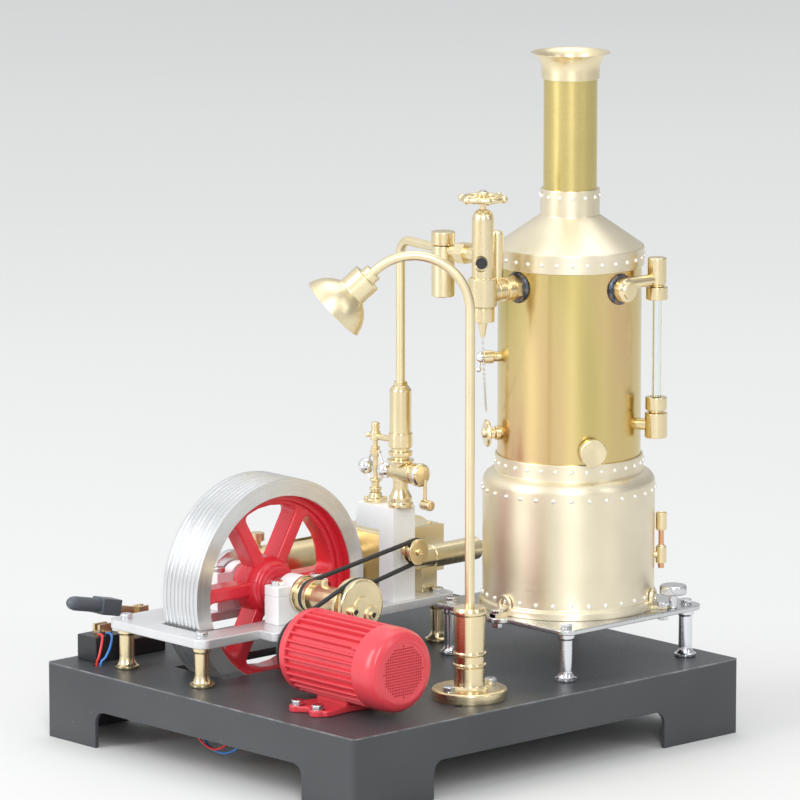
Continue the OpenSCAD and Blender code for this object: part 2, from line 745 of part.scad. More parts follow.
module bearing_caps() {
    color("#e4e6e8")
    for (y = [front_bearing_y, rear_bearing_y]) difference() {
        union() {
            bearing_half(y, shaft[1], 5);
            difference() {
                bar_y(shaft[0], shaft[1], y, 8.6);
                translate([shaft[0] - 20, y[0] - 1, shaft[1] - 20]) cube([40, y[1] - y[0] + 2, 20]);
            }
        }
        bar_y(shaft[0], shaft[1], [y[0] - 1, y[1] + 1], shaft_r + running_gap);
    }
}

module crankshaft() {
    color("#c9ccd0") {
        bar_y(shaft[0], shaft[1], [-30, crank_disc_y[0]], shaft_r);
        bar_y(shaft[0], shaft[1], [22.1, flywheel_y - 12], 6);
        bar_y(shaft[0], shaft[1], crank_disc_y, crank_disc_r);
        bar_y(shaft[0] + crank_r, shaft[1], [crank_disc_y[1], rod_y[0] - 0.2], pin_r);
    }
}

module flywheel_rim() {
    grooves = 7;
    half = flywheel_w / 2;
    pitch = (flywheel_w - 4) / grooves;
    groove = [[0, 2], [-0.5, 2.4], [-0.5, 2.9], [0, 3.3]];
    tread = [for (i = [0:grooves - 1], g = groove) [flywheel_r + g[0], pitch * i + g[1]]];
    color("#e2e4e6")
    translate([shaft[0], flywheel_y + half, shaft[1]]) rotate([90, 0, 0])
        lathe(concat([[flywheel_r - rim_t, 0], [flywheel_r, 0]], tread,
            [[flywheel_r, flywheel_w], [flywheel_r - rim_t, flywheel_w]]));
}

module flywheel_spider() {
    seat = flywheel_r - rim_t;
    web = 15;
    spoke_t = 11.2;
    color("#c81e2b")
    translate([shaft[0], flywheel_y, shaft[1]]) rotate([90, 0, 0]) difference() {
        union() {
            lathe([[seat - 4, -web / 2], [seat, -web / 2], [seat, web / 2], [seat - 4, web / 2]]);
            lathe([[seat - 8, -spoke_t / 2], [seat - 3, -spoke_t / 2], [seat - 3, spoke_t / 2],
                [seat - 8, spoke_t / 2]]);
            lathe([[0, -11], [10.5, -11], [14.5, -4], [14.5, 4], [10.5, 11], [0, 11]]);
            for (i = [0:spokes - 1]) rotate([0, 0, 360 * i / spokes])
                translate([10, -3.7, -spoke_t / 2]) cube([seat - 16, 7.4, spoke_t]);
        }
        translate([0, 0, -20]) cylinder(h = 40, r = shaft_r);
    }
}

module drive_pulley() {
    drum_y = [-4, 11.8];
    color("#cbab5e")
    difference() {
        union() {
            grooved_wheel(shaft[0], generator_belt_y, shaft[1], 13.4, 7, drive_pitch);
            grooved_wheel(shaft[0], governor_pulley_y, shaft[1], 8, 8, drum_pitch);
            bar_y(shaft[0], shaft[1], [10, drum_y[1]], 9);
            bar_y(shaft[0], shaft[1], [-22.6, 2.1], 6.4);
            bar_y(shaft[0], shaft[1], [-32.5, -29], 2.6);
            translate([shaft[0], -3, shaft[1]]) cylinder(h = 9, r = 1.8);
        }
        bar_y(shaft[0], shaft[1], [-30, 20], shaft_r);
    }
}

module connecting_rod() {
    pin = [shaft[0] + crank_r, shaft[1]];
    bore = 1.6 + running_gap;
    color("#d0d3d6")
    difference() {
        union() {
            bar_y(pin[0], pin[1], rod_y, 3.3);
            bar_y(wrist_x, pin[1], rod_y, 3.4);
            translate([pin[0] + 3, rod_y[0] + 0.5, pin[1] - 2])
                cube([rod_length - 5, rod_y[1] - rod_y[0] - 1, 4]);
        }
        bar_y(wrist_x, pin[1], [rod_y[0] - 1, rod_y[1] + 1], bore);
    }
}

// Children stand along the engine's axis, from x towards +X.
module on_axis(x) translate([x, engine_y, shaft[1]]) rotate([0, 90, 0]) children();

// Fork, wrist pin, crosshead slipper, piston rod and piston.
module crosshead() {
    color("#c9ccd0")
    difference() {
        union() {
            on_axis(wrist_x - 4) cylinder(h = 15, r = 8);
            on_axis(wrist_x + 8) cylinder(h = 60, r = 1.8);
            on_axis(wrist_x + 65) cylinder(h = 6, r = piston_r);
        }
        difference() {
            translate([wrist_x - 6, rod_y[0] - 0.2, shaft[1] - 10]) cube([11, rod_y[1] - rod_y[0] + 0.4, 20]);
            bar_y(wrist_x, shaft[1], [60, 80], 1.6);
        }
    }
}

// Trunk guide with an oil cup, cylinder with its steam chest, and the end flange.
module engine_cylinder() {
    guide_x = [-28, 34];
    bore_r = 8 + running_gap;
    block_x = [34, 76];
    color("#cbaa58")
    difference() {
        union() {
            on_axis(guide_x[0]) cylinder(h = guide_x[1] - guide_x[0], r = 11);
            on_axis(guide_x[0]) cylinder(h = 3, r = 12);
            translate([-25.5, engine_y, shaft[1] + 9])
                lathe([[0, 0], [1.6, 0], [1.6, 4], [3.4, 5.4], [3.4, 9], [0, 9]]);
            translate([block_x[0], 46, shaft[1] - 11]) cube([block_x[1] - block_x[0], 35, 23]);
            on_axis(block_x[1]) cylinder(h = 5, r = 12);
            translate([10, engine_y - 8, bed_z + bed_t]) cube([20, 16, 6]);
        }
        on_axis(guide_x[0] - 1) cylinder(h = 60, r = bore_r);
        on_axis(30) cylinder(h = 10, r = 1.8 + running_gap);
        on_axis(39) cylinder(h = 35, r = piston_r + running_gap);
        on_axis(guide_x[0] - 0.5) cylinder(h = 8.5, r1 = 10.2, r2 = bore_r);
        translate([-16, rod_y[0] - 1, shaft[1] + 6]) cube([30, rod_y[1] - rod_y[0] + 2, 12]);
    }
}

module oil_separator() {
    y = 24.5;
    z = 77;
    color("#cbaa58") {
        translate([31, y, z]) rotate([0, 90, 0])
            lathe([[0, 2], [2.2, 2], [5.2, 0], [5.7, 0.6], [5.7, 46], [5.2, 46.6], [3, 48], [3, 66], [0, 66]]);
        translate([38, y - 4, bed_z + bed_t]) cube([10, 8, 12]);
    }
}

// Generator

module generator_housing() {
    x = generator_at[0];
    z = generator_at[1];
    fin_y = [-72, -34];
    r = generator_r;
    color("#cf2433")
    difference() {
        union() {
            bar_y(x, z, [fin_y[0], fin_y[1]], r - 2.4);
            for (i = [0:fins - 1]) translate([x, 0, z]) rotate([0, 360 * i / fins, 0])
                translate([-0.55, fin_y[0] - 1, r - 3.4]) cube([1.1, fin_y[1] - fin_y[0] + 2, 3.1]);
            translate([x, fin_y[1] - 0.5, z]) rotate([-90, 0, 0])
                lathe([[0, 0], [r, 0], [r, 2.5], [r - 1.4, 4.5], [0, 4.5]]);
            translate([x, fin_y[0], z]) rotate([90, 0, 0])
                lathe([[0, 0], [r, 0], [r, 19], [r - 0.7, 21.4], [r - 2.6, 23.3], [r - 5, 24], [0, 24]]);
            translate([x - 10, -68, tray_z + 1]) cube([20, 26, 10]);
            plate([x - 27.5, -70], [x + 27.5, -42], tray_z, generator_foot_z, 4);
        }
        bar_y(x, z, [-92, fin_y[1] - 2], r - 5);
        bar_y(x, z, [-60, -20], 2 + running_gap);
    }
}

module generator_pulley() {
    color("#3a3c3f") {
        grooved_wheel(generator_at[0], generator_belt_y, generator_at[1], 15, 5.4, generator_pitch);
        bar_y(generator_at[0], generator_at[1], [-88, generator_belt_y + 4.4], 2);
        bar_y(generator_at[0], generator_at[1], [-86, -44], 12.5);
    }
}

// Street lamp

module lamp_base() {
    color("#cdb06a")
    translate([lamp[0], lamp[1], tray_z]) difference() {
        lathe([[0, 0], [17.8, 0], [17.8, 4.4], [17, 5.1], [9, 5.1], [7.6, 6.4], [7.3, 9], [7.3, 15.2],
            [7.9, 15.8], [7.9, 16.6], [7.3, 17], [7.3, 20.8], [7.9, 21.2], [7.9, 22], [7.3, 22.6],
            [7.3, 40], [7.8, 40.6], [7.8, 42], [7, 43.6], [0, 43.6]]);
        translate([0, 0, 20]) cylinder(h = 30, r = 2.3);
    }
}

// Where the swan neck ends, and the way it points there.
function neck_end() = [lamp_neck_r * (1 - cos(neck_sweep)), 0, lamp_post_z + lamp_neck_r * sin(neck_sweep)];
module at_lamp_head() translate([lamp[0], lamp[1], 0]) rotate([0, 0, lamp_heading])
    translate(neck_end()) rotate([0, neck_sweep, 0]) children();

module lamp_post() {
    joint = 2;
    foot = tray_z + 20;
    color("#cdb36a") {
        translate([lamp[0], lamp[1], foot]) cylinder(h = lamp_post_z - joint / 2 - foot, r = 2.3);
        translate([lamp[0], lamp[1], lamp_post_z - joint]) cylinder(h = 2 * joint, r = 2.6);
        translate([lamp[0], lamp[1], lamp_post_z]) rotate([0, 0, lamp_heading]) rotate([90, 0, 0])
            translate([lamp_neck_r, 0, 0]) rotate([0, 0, 180 - neck_sweep])
                rotate_extrude(angle = neck_sweep) translate([lamp_neck_r, 0]) circle(r = 2.3);
    }
}

module lamp_shade() {
    color("#d6b873")
    at_lamp_head() {
        lathe([[0, 0], [4.4, 0], [4.4, 3.6], [7.4, 4], [7.4, 13.4], [8.4, 14.4], [12, 17], [15, 21],
            [16.7, 25.6], [16, 25.6], [14.2, 21.6], [11.4, 18], [7.6, 15.4], [0, 15.4]]);
    }
}

module lamp_bulb() {
    color("#f6f1d8")
    at_lamp_head() translate([0, 0, 15.4]) {
        cylinder(h = 2.4, r = 3);
        translate([0, 0, 3.4]) sphere(r = 2.6);
    }
}

// Knife switch

module switch_base() {
    color("#26272a") {
        translate([-110, 91, tray_z]) cube([44, 14, 8.5]);
        translate([-110, 91, tray_z + 8.5]) cube([18, 14, 3.8]);
    }
}

module switch_contacts() {
    x = switch_pivot[0];
    color("#c99c4c") {
        for (s = [-1, 1]) translate([x - 3, switch_pivot[1] + s * 1.9 - 0.8, 44.9]) cube([6, 1.6, 14]);
        translate([x - 3, switch_pivot[1] - 2.7, 44.9]) cube([6, 5.4, 2]);
        for (s = [-1, 1]) translate([-104, switch_pivot[1] + s * 1.9 - 0.8, 48.7]) cube([8, 1.6, 4.8]);
        translate([-104, switch_pivot[1] - 2.7, 48.7]) cube([8, 5.4, 1.6]);
    }
}

module switch_lever() {
    color("#54585d")
    translate(switch_pivot) rotate([0, switch_tilt, 0]) {
        translate([-17, -1, -2]) cube([21, 2, 4]);
        bar_y(0, 0, [-1.05, 1.05], 2.6);
        translate([-28, -4.5, -3]) cube([12, 9, 8]);
        bar([-44, 0, 1], [-27, 0, 1], 3.4);
        translate([-44, 0, 1]) sphere(r = 3.2);
    }
}

// Wires from the switch through the tray, and those that hang under it.
module wiring() {
    red_end = [-106, 94, 49.4];
    blue_end = [-101, 94, 49.4];
    hole = [-112, 88, 37];
    under = tray_z - sheet;
    color("#c8322c") {
        tube([red_end, [-106.4, 91, 49.9], [-107.6, 89, 48.6], [-110, 87.4, 44], [-111.7, 87, 40], hole,
            [-112, 87.6, 30], [-110, 80, 26], [-107, 60, 28], [-105, 36, 30]], 0.6);
        tube(sagging([-105, 36, 30], [-105, -14, 33], 24, 12), 0.6);
    }
    color("#2f6fb0") {
        tube([blue_end, [-101.4, 91, 49.9], [-102, 88.6, 48.4], [-105, 86.6, 44], [-108.6, 85.6, 40],
            [-111, 86.2, 37.4], [-110.8, 86.4, 30], [-108, 80, 24], [-103.5, 60, 27], [-103, 36, 29]], 0.6);
        tube(sagging([-103, 36, 29], [-103, -22, 33], 25, 12), 0.6);
    }
    color("#e3c91c") tube(sagging([-104, 20, 31], [-60, -85, under - 1], 26, 20), 0.6);
}

// Bolts

module hex_bolts() {
    boiler_top = plate_z + plate_t;
    bed_top = bed_z + bed_t;
    color("#d9dbde") {
        for (x = [-1, 1], y = [-1, 1])
            translate([boiler[0] + x * leg_pitch / 2, boiler[1] + y * leg_pitch / 2, boiler_top]) hex_bolt(7);
        for (p = [[-105, 19], [-105, 74], [45, 17], [45, 74]]) translate([p[0], p[1], bed_top]) hex_bolt(9);
        for (s = [-1, 1], y = [17, 59]) translate([shaft[0] + s * 12.4, y, shaft[1] + 5]) hex_bolt(12);
        for (s = [-1, 1]) translate([lamp[0] + s * 13.3, lamp[1], tray_z + 5.1]) hex_bolt(9);
        for (s = [-1, 1], y = [-49, -63])
            translate([generator_at[0] + s * 24, y, tray_z + generator_foot_z]) hex_bolt(7);
        for (a = lug_angles) at_boiler(a, firebox_z + 1.6, lip_r + 4.6) {
            hex_bolt(7, 2);
            translate([0, 0, -6.8]) cylinder(h = 2.2, r = 2.6, $fn = 6);
        }
    }
}

base_tray();
boiler_plate();
boiler_legs();
hex_bolts();
firebox();
rivets();
firebox_lugs();
boiler_shell();
boss_rings();
filler_plug();
smokebox();
chimney_tube();
chimney_bell();
gauge_fittings();
gauge_glass();
burner_jet();
burner_screw();
stop_valve();
handwheel();
safety_valve();
lubricator();
lubricator_cap();
boiler_cocks();
try_cock_lever();
blowdown_wheel();
valve_chain();
steam_pipe();
pipe_coupling();
throttle_valve();
throttle_lever();
governor_standard();
governor_base();
governor_spindle();
governor_sleeve();
governor_arm_left();
governor_arm_right();
governor_pulley();
belts();
engine_bed();
bed_legs();
bearing_blocks();
bearing_caps();
crankshaft();
flywheel_rim();
flywheel_spider();
drive_pulley();
connecting_rod();
crosshead();
engine_cylinder();
oil_separator();
generator_housing();
generator_pulley();
lamp_base();
lamp_post();
lamp_shade();
lamp_bulb();
switch_base();
switch_contacts();
switch_lever();
wiring();
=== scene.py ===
"""The looks of the model steam plant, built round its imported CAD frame.

Every length below is in millimetres, in the frame's own axes. Shape.done() turns a piece into metres.
"""

import math

import bmesh
import bpy
from mathutils import Matrix, Vector


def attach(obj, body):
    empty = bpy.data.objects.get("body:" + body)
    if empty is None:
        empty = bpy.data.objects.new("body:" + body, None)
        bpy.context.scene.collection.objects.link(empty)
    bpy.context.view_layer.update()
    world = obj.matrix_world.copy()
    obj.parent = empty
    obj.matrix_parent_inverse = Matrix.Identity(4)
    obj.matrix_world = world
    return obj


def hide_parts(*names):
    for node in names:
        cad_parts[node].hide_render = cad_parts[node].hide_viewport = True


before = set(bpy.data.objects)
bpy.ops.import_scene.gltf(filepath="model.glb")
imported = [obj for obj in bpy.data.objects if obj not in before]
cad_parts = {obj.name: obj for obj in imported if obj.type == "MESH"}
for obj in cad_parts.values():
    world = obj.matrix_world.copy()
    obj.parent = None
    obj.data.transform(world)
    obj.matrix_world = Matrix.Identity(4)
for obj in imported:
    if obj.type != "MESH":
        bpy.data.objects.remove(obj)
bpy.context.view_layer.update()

MM = 0.001
X_AXIS = Vector((1, 0, 0))
Y_AXIS = Vector((0, 1, 0))
Z_AXIS = Vector((0, 0, 1))

# Places that several pieces share
TRAY_TOP = 36.4
BOILER = Vector((70, -48.5, 0))
SHELL_R = 34.4
SHELL_LOW = 126
FIREBOX_R = 41.4
FIREBOX_LOW = 62.2
NECK_R = 35.6
COLLAR_R = 14.2
CHIMNEY_R = 12.8
STEAM_BOSS_Z = 220
COCK_ANGLE = math.radians(150)
GAUGE = Vector((91, -86.5, 0))
VALVE = Vector((13, -48.5, 0))
LUBRICATOR = Vector((13, -21, 0))
PIPE_Z = 237.5
PIPE_LOW = 166
THROTTLE = Vector((20, 16.5, 0))
THROTTLE_Z = 124
THROTTLE_FACE = 5.2
COLUMN_TOP = 106.5
BED_TOP = 60.5
SHAFT = Vector((-47, 0, 74))
FLYWHEEL_Y = 40.5
FLYWHEEL_R = 53.3
RIM_SEAT = 44.7
GOVERNOR = Vector((20, 34.5, 0))
GOVERNOR_PULLEY = Vector((20, 6, 86))
GENERATOR = Vector((-81, 0, 59))
LAMP = Vector((-27.6, -83.2, 0))
LAMP_HEADING = math.radians(137.5)
LAMP_NECK_R = 26.3
LAMP_NECK_TURN = math.radians(135)
LAMP_POST_TOP = 220
SWITCH_PIVOT = Vector((-76, 98, 56))
SWITCH_TILT = math.radians(12)
TRAY_HALF = (0.125, 0.110)
SHARP_ANGLE = math.radians(38)


# Materials

def node(tree, kind, inputs=None, **settings):
    """One shader node. Its inputs are numbers, colours or other nodes' sockets."""
    made = tree.nodes.new("ShaderNode" + kind)
    for key, value in settings.items():
        setattr(made, key, value)
    for key, value in (inputs or {}).items():
        if isinstance(value, bpy.types.NodeSocket):
            tree.links.new(value, made.inputs[key])
        else:
            made.inputs[key].default_value = value
    return made


def blank_material(name):
    """A new material with its node tree, its Principled BSDF and the object coordinates."""
    material = bpy.data.materials.new(name)
    material.use_nodes = True
    tree = material.node_tree
    surface = tree.nodes["Principled BSDF"]
    place = node(tree, "TexCoord").outputs["Object"]
    return material, tree, surface, place


def noise(tree, place, scale, detail=3, stretch=(1, 1, 1)):
    """Noise from 0 to 1. Scale counts features per metre, before the stretch."""
    spread = node(tree, "Mapping", {"Vector": place, "Scale": stretch}).outputs["Vector"]
    return node(tree, "TexNoise", {"Vector": spread, "Scale": scale, "Detail": detail}).outputs["Fac"]


def ranged(tree, value, start, end, low=0.0, high=1.0):
    """The value's run from start to end, spread from low to high."""
    return node(tree, "MapRange", {"Value": value, "From Min": start, "From Max": end, "To Min": low,
                                   "To Max": high}).outputs[0]


def between(tree, grain, low, high):
    """A noise's usual run, spread from low to high."""
    return ranged(tree, grain, 0.3, 0.7, low, high)


def mixed(tree, share, first, second):
    """A colour between two colours."""
    made = node(tree, "Mix", data_type="RGBA")
    for socket, value in ((made.inputs[0], share), (made.inputs[6], first), (made.inputs[7], second)):
        if isinstance(value, bpy.types.NodeSocket):
            tree.links.new(value, socket)
        else:
            socket.default_value = (*value, 1) if isinstance(value, tuple) else value
    return made.outputs[2]


def multiplied(tree, first, second):
    return node(tree, "Math", {0: first, 1: second}, operation="MULTIPLY").outputs[0]


def ramped(tree, value, low, *middle, high):
    """A colour from a ramp. Each stop is a position and a colour."""
    ramp = node(tree, "ValToRGB", {"Fac": value})
    for element, (position, colour) in zip(ramp.color_ramp.elements, (low, high)):
        element.position = position
        element.color = (*colour, 1)
    for position, colour in middle:
        ramp.color_ramp.elements.new(position).color = (*colour, 1)
    return ramp.outputs["Color"]


def finished(tree, surface, colour, grain, low, high):
    """Gives the surface a colour and a roughness, which follows the grain from low to high."""
    tree.links.new(colour, surface.inputs["Base Color"])
    tree.links.new(between(tree, grain, low, high), surface.inputs["Roughness"])


def drawn_out(tree, surface, strength):
    """Draws highlights out across the lathe's rings."""
    surface.inputs["Anisotropic"].default_value = strength
    surface.inputs["Anisotropic Rotation"].default_value = 0.25
    around = node(tree, "Attribute", attribute_name="around").outputs["Vector"]
    tree.links.new(around, surface.inputs["Tangent"])


def bumped(tree, surface, height, depth, strength=1.0):
    """Bump of the given depth in metres."""
    bump = node(tree, "Bump", {"Height": height, "Distance": depth, "Strength": strength})
    tree.links.new(bump.outputs["Normal"], surface.inputs["Normal"])


def shaded(colour, factor):
    return tuple(channel * factor for channel in colour)


def machined(name, colour, rough=0.3, grain=(1, 1, 1), tint=None, metal=1.0):
    """Milled or cast metal: a fine grain, which may be stretched, and slow changes of tone."""
    material, tree, surface, place = blank_material(name)
    fine = noise(tree, place, 1600, 4, grain)
    slow = noise(tree, place, 28, 2)
    tone = mixed(tree, between(tree, slow, 0, 1), shaded(colour, 0.9), tint or colour)
    grained = mixed(tree, between(tree, fine, 0, 0.25), tone, shaded(colour, 0.8))
    finished(tree, surface, grained, fine, rough * 0.85, rough * 1.2)
    surface.inputs["Metallic"].default_value = metal
    bumped(tree, surface, fine, 0.00001, 0.35)
    return material


def turned(name, colour, rough=0.25, lines=9.0, depth=0.000012, tint=None, metal=1.0, contrast=0.22):
    """Metal from a lathe, with fine rings, whose lines are counted per millimetre of the outline."""
    material, tree, surface, place = blank_material(name)
    along = node(tree, "Attribute", attribute_name="along").outputs["Fac"]
    step = multiplied(tree, along, lines)
    ring = node(tree, "TexNoise", {"W": step, "Scale": 1.0, "Detail": 3}, noise_dimensions="1D").outputs[0]
    slow = noise(tree, place, 40, 2)
    tone = mixed(tree, between(tree, slow, 0, 1), shaded(colour, 0.92), tint or colour)
    ringed = mixed(tree, between(tree, ring, 0, contrast), tone, shaded(colour, 0.72))
    finished(tree, surface, ringed, ring, rough * 0.85, rough * 1.25)
    surface.inputs["Metallic"].default_value = metal
    drawn_out(tree, surface, 0.55)
    bumped(tree, surface, ring, depth)
    return material


def heat_tinted(name):
    """The boiler's brass tube: green-gold, with pink and orange clouds and faint upright streaks."""
    material, tree, surface, place = blank_material(name)
    cloud = noise(tree, place, 24, 1, (1, 1, 0.25))
    tint = ramped(tree, cloud, (0.36, (0.58, 0.48, 0.17)), (0.47, (0.68, 0.55, 0.23)),
                  (0.56, (0.73, 0.55, 0.26)), high=(0.66, (0.76, 0.48, 0.31)))
    streak = noise(tree, place, 1500, 2, (1, 1, 0.01))
    streaked = mixed(tree, between(tree, streak, 0, 0.01), tint, (0.42, 0.30, 0.10))
    finished(tree, surface, streaked, streak, 0.25, 0.265)
    surface.inputs["Metallic"].default_value = 1
    drawn_out(tree, surface, 0.6)
    bumped(tree, surface, streak, 0.0000005, 0.3)
    return material


def powder_coat(name):
    """Charcoal powder coat: fine orange peel, stray pale specks and a painted highlight along the top rims.
    """
    material, tree, surface, place = blank_material(name)
    peel = noise(tree, place, 1500, 3)
    slow = noise(tree, place, 18, 2)
    base = mixed(tree, between(tree, slow, 0, 1), (0.044, 0.047, 0.052), (0.058, 0.061, 0.066))
    cells = node(tree, "TexVoronoi", {"Vector": place, "Scale": 170.0}).outputs["Distance"]
    speck = ranged(tree, cells, 0.045, 0.02)
    patch = ranged(tree, noise(tree, place, 21, 1), 0.56, 0.6)
    dusty = mixed(tree, multiplied(tree, speck, patch), base, (0.5, 0.5, 0.48))
    # A paler grey line round the tray's top outer edges, broken by noise: a painted highlight where the edges
    # catch the light.
    axes = node(tree, "SeparateXYZ", {"Vector": place}).outputs
    sides = []
    for axis, half in zip("XY", TRAY_HALF):
        size = node(tree, "Math", {0: axes[axis]}, operation="ABSOLUTE").outputs[0]
        sides.append(ranged(tree, size, half - 0.0009, half - 0.0002))
    side = node(tree, "Math", dict(enumerate(sides)), operation="MAXIMUM").outputs[0]
    rim = multiplied(tree, side, ranged(tree, axes["Z"], 0.0356, 0.0362))
    wear_and_highlight = multiplied(tree, rim, between(tree, noise(tree, place, 120, 4), 0.1, 0.8))
    finished(tree, surface, mixed(tree, wear_and_highlight, dusty, (0.30, 0.31, 0.32)), peel, 0.36, 0.5)
    surface.inputs["Specular IOR Level"].default_value = 0.5
    bumped(tree, surface, peel, 0.00005, 0.5)
    return material


def enamel(name, colour, rough, coat, speckle=0.0):
    """Paint over metal: slight waves, slow changes of depth, and a clear coat."""
    material, tree, surface, place = blank_material(name)
    wave = noise(tree, place, 260, 3)
    slow = noise(tree, place, 30, 2)
    base = mixed(tree, between(tree, slow, 0, 1), shaded(colour, 0.88), colour)
    grains = noise(tree, place, 2600, 2)
    speckled = mixed(tree, between(tree, grains, 0, speckle), base, shaded(colour, 0.55))
    finished(tree, surface, speckled, wave, rough * 0.85, rough * 1.2)
    surface.inputs["Coat Weight"].default_value = coat
    surface.inputs["Coat Roughness"].default_value = 0.12
    bumped(tree, surface, wave, 0.00004, 0.35)
    return material


def plastic(name, colour, rough):
    """Moulded plastic or rubber: a fine matt grain and slightly paler worn patches."""
    material, tree, surface, place = blank_material(name)
    grain = noise(tree, place, 3200, 3)
    slow = noise(tree, place, 60, 3)
    pale = tuple(min(1, channel * 1.6 + 0.01) for channel in colour)
    wear_and_highlight = mixed(tree, between(tree, slow, 0, 0.15), colour, pale)
    finished(tree, surface, wear_and_highlight, grain, rough * 0.88, rough * 1.12)
    bumped(tree, surface, grain, 0.00003, 0.4)
    return material


def clear_glass(name, colour, rough=0.02):
    """Clear glass with faint dust on it."""
    material, tree, surface, place = blank_material(name)
    dust = noise(tree, place, 500, 4)
    surface.inputs["Base Color"].default_value = (*colour, 1)
    surface.inputs["Transmission Weight"].default_value = 1
    surface.inputs["IOR"].default_value = 1.47
    tree.links.new(between(tree, dust, rough, rough + 0.06), surface.inputs["Roughness"])
    return material


def blued(name):
    """Soldered joint rings: heat-blued dark metal with brown and grey-blue patches."""
    material, tree, surface, place = blank_material(name)
    patch = noise(tree, place, 260, 4)
    tint = ramped(tree, patch, (0.38, (0.05, 0.045, 0.045)), (0.52, (0.10, 0.13, 0.19)),
                  high=(0.66, (0.30, 0.20, 0.12)))
    finished(tree, surface, tint, patch, 0.25, 0.5)
    surface.inputs["Metallic"].default_value = 0.85
    bumped(tree, surface, patch, 0.0002, 0.6)
    return material


TRAY_COAT = powder_coat("tray_powder_coat")
ALUMINIUM = machined("satin_aluminium", (0.78, 0.79, 0.80), 0.38, (0.08, 1, 1), metal=0.6)
WHITE_ALUMINIUM = machined("blasted_aluminium", (0.95, 0.96, 0.97), 0.5, metal=0.05)
TURNED_ALUMINIUM = turned("turned_aluminium", (0.78, 0.79, 0.80), 0.26, metal=0.85, contrast=0.2)
STEEL = turned("turned_steel", (0.74, 0.75, 0.77), 0.2)
POLISHED_STEEL = turned("polished_steel", (0.80, 0.82, 0.86), 0.12, contrast=0.05)
PLATE_STEEL = machined("ground_steel", (0.70, 0.71, 0.72), 0.26, (1, 0.1, 1))
BOLT_STEEL = machined("bolt_steel", (0.80, 0.81, 0.83), 0.2)
CHROME = machined("chrome", (0.90, 0.91, 0.92), 0.06)
CHAMPAGNE = turned("champagne_brass", (0.90, 0.82, 0.61), 0.4, 2.0, 0.000001, (0.92, 0.83, 0.65),
                   contrast=0.03)
RIVET_SILVER = machined("rivet_silver", (0.97, 0.96, 0.92), 0.3, metal=0.7)
TINTED_BRASS = heat_tinted("tinted_brass")
DEEP_BRASS = turned("chimney_brass", (0.72, 0.59, 0.24), 0.26, 14.0, 0.0000001, contrast=0.03)
BRASS = turned("turned_brass", (0.90, 0.76, 0.48), 0.22, contrast=0.15)
SATIN_BRASS = turned("satin_brass", (0.91, 0.79, 0.52), 0.32, contrast=0.1)
MILLED_BRASS = machined("milled_brass", (0.87, 0.71, 0.43), 0.32)
SATIN_METAL = machined("brushed_brass", (0.90, 0.77, 0.50), 0.3, (1, 1, 0.2))
COPPER = machined("copper", (0.80, 0.42, 0.24), 0.25)
BLUED = blued("blued_rings")
RED = enamel("wheel_red", (0.78, 0.028, 0.048), 0.32, 0.5)
CAST_RED = enamel("motor_red", (0.76, 0.055, 0.075), 0.36, 0.35, 0.25)
RUBBER = plastic("belt_rubber", (0.018, 0.019, 0.021), 0.5)
BLACK_PLASTIC = plastic("black_plastic", (0.02, 0.021, 0.024), 0.35)
GREY_PLASTIC = plastic("grey_plastic", (0.075, 0.088, 0.105), 0.38)
GLASS = clear_glass("gauge_glass", (0.96, 0.98, 0.98))
BULB_GLASS = clear_glass("bulb_glass", (0.99, 0.96, 0.86), 0.1)
RED_WIRE = plastic("red_wire", (0.70, 0.04, 0.04), 0.35)
BLUE_WIRE = plastic("blue_wire", (0.05, 0.22, 0.60), 0.35)
YELLOW_WIRE = plastic("yellow_wire", (0.85, 0.72, 0.02), 0.35)


# Shapes

def rounded(outline, reach, closed=False, steps=3, keep=155):
    """The outline with each corner that is sharper than keep degrees turned into a short arc."""
    points = [Vector(point) for point in outline]
    count = len(points)
    result = []
    for i, corner in enumerate(points):
        if not closed and i in (0, count - 1):
            result.append(corner)
            continue
        back = points[i - 1] - corner
        on = points[(i + 1) % count] - corner
        cut = min(reach, 0.45 * back.length, 0.45 * on.length)
        if cut < 1e-4 or back.angle(on) > math.radians(keep):
            result.append(corner)
            continue
        start = corner + back.normalized() * cut
        end = corner + on.normalized() * cut
        for k in range(steps + 1):
            t = k / steps
            result.append(start * (1 - t) ** 2 + corner * 2 * t * (1 - t) + end * t ** 2)
    return result


def smooth_path(points, steps=8):
    """A Catmull-Rom curve through the points."""
    ends = [points[0] * 2 - points[1], *points, points[-1] * 2 - points[-2]]
    path = []
    for a, b, c, d in zip(ends, ends[1:], ends[2:], ends[3:]):
        for k in range(steps):
            t = k / steps
            path.append(0.5 * (2 * b + (c - a) * t + (2 * a - 5 * b + 4 * c - d) * t ** 2
                               + (3 * b - a - 3 * c + d) * t ** 3))
    return path + [points[-1]]


def heading(angle):
    """A level direction at an angle from +X."""
    return Vector((math.cos(angle), math.sin(angle), 0))


def circle(radius, count, centre=(0, 0)):
    """Points once round a circle, as (x, y) pairs."""
    return [(centre[0] + radius * math.cos(a), centre[1] + radius * math.sin(a))
            for a in (math.tau * k / count for k in range(count))]


def linked(name, data):
    """A new object in the scene."""
    made = bpy.data.objects.new(name, data)
    bpy.context.scene.collection.objects.link(made)
    return made


def facing(axis):
    """A rotation that turns +Z to the axis."""
    return Vector(axis).to_track_quat("Z", "Y").to_matrix().to_4x4()


def at(place, axis=Z_AXIS):
    """A place whose Z axis points along the axis."""
    return Matrix.Translation(Vector(place)) @ facing(axis)


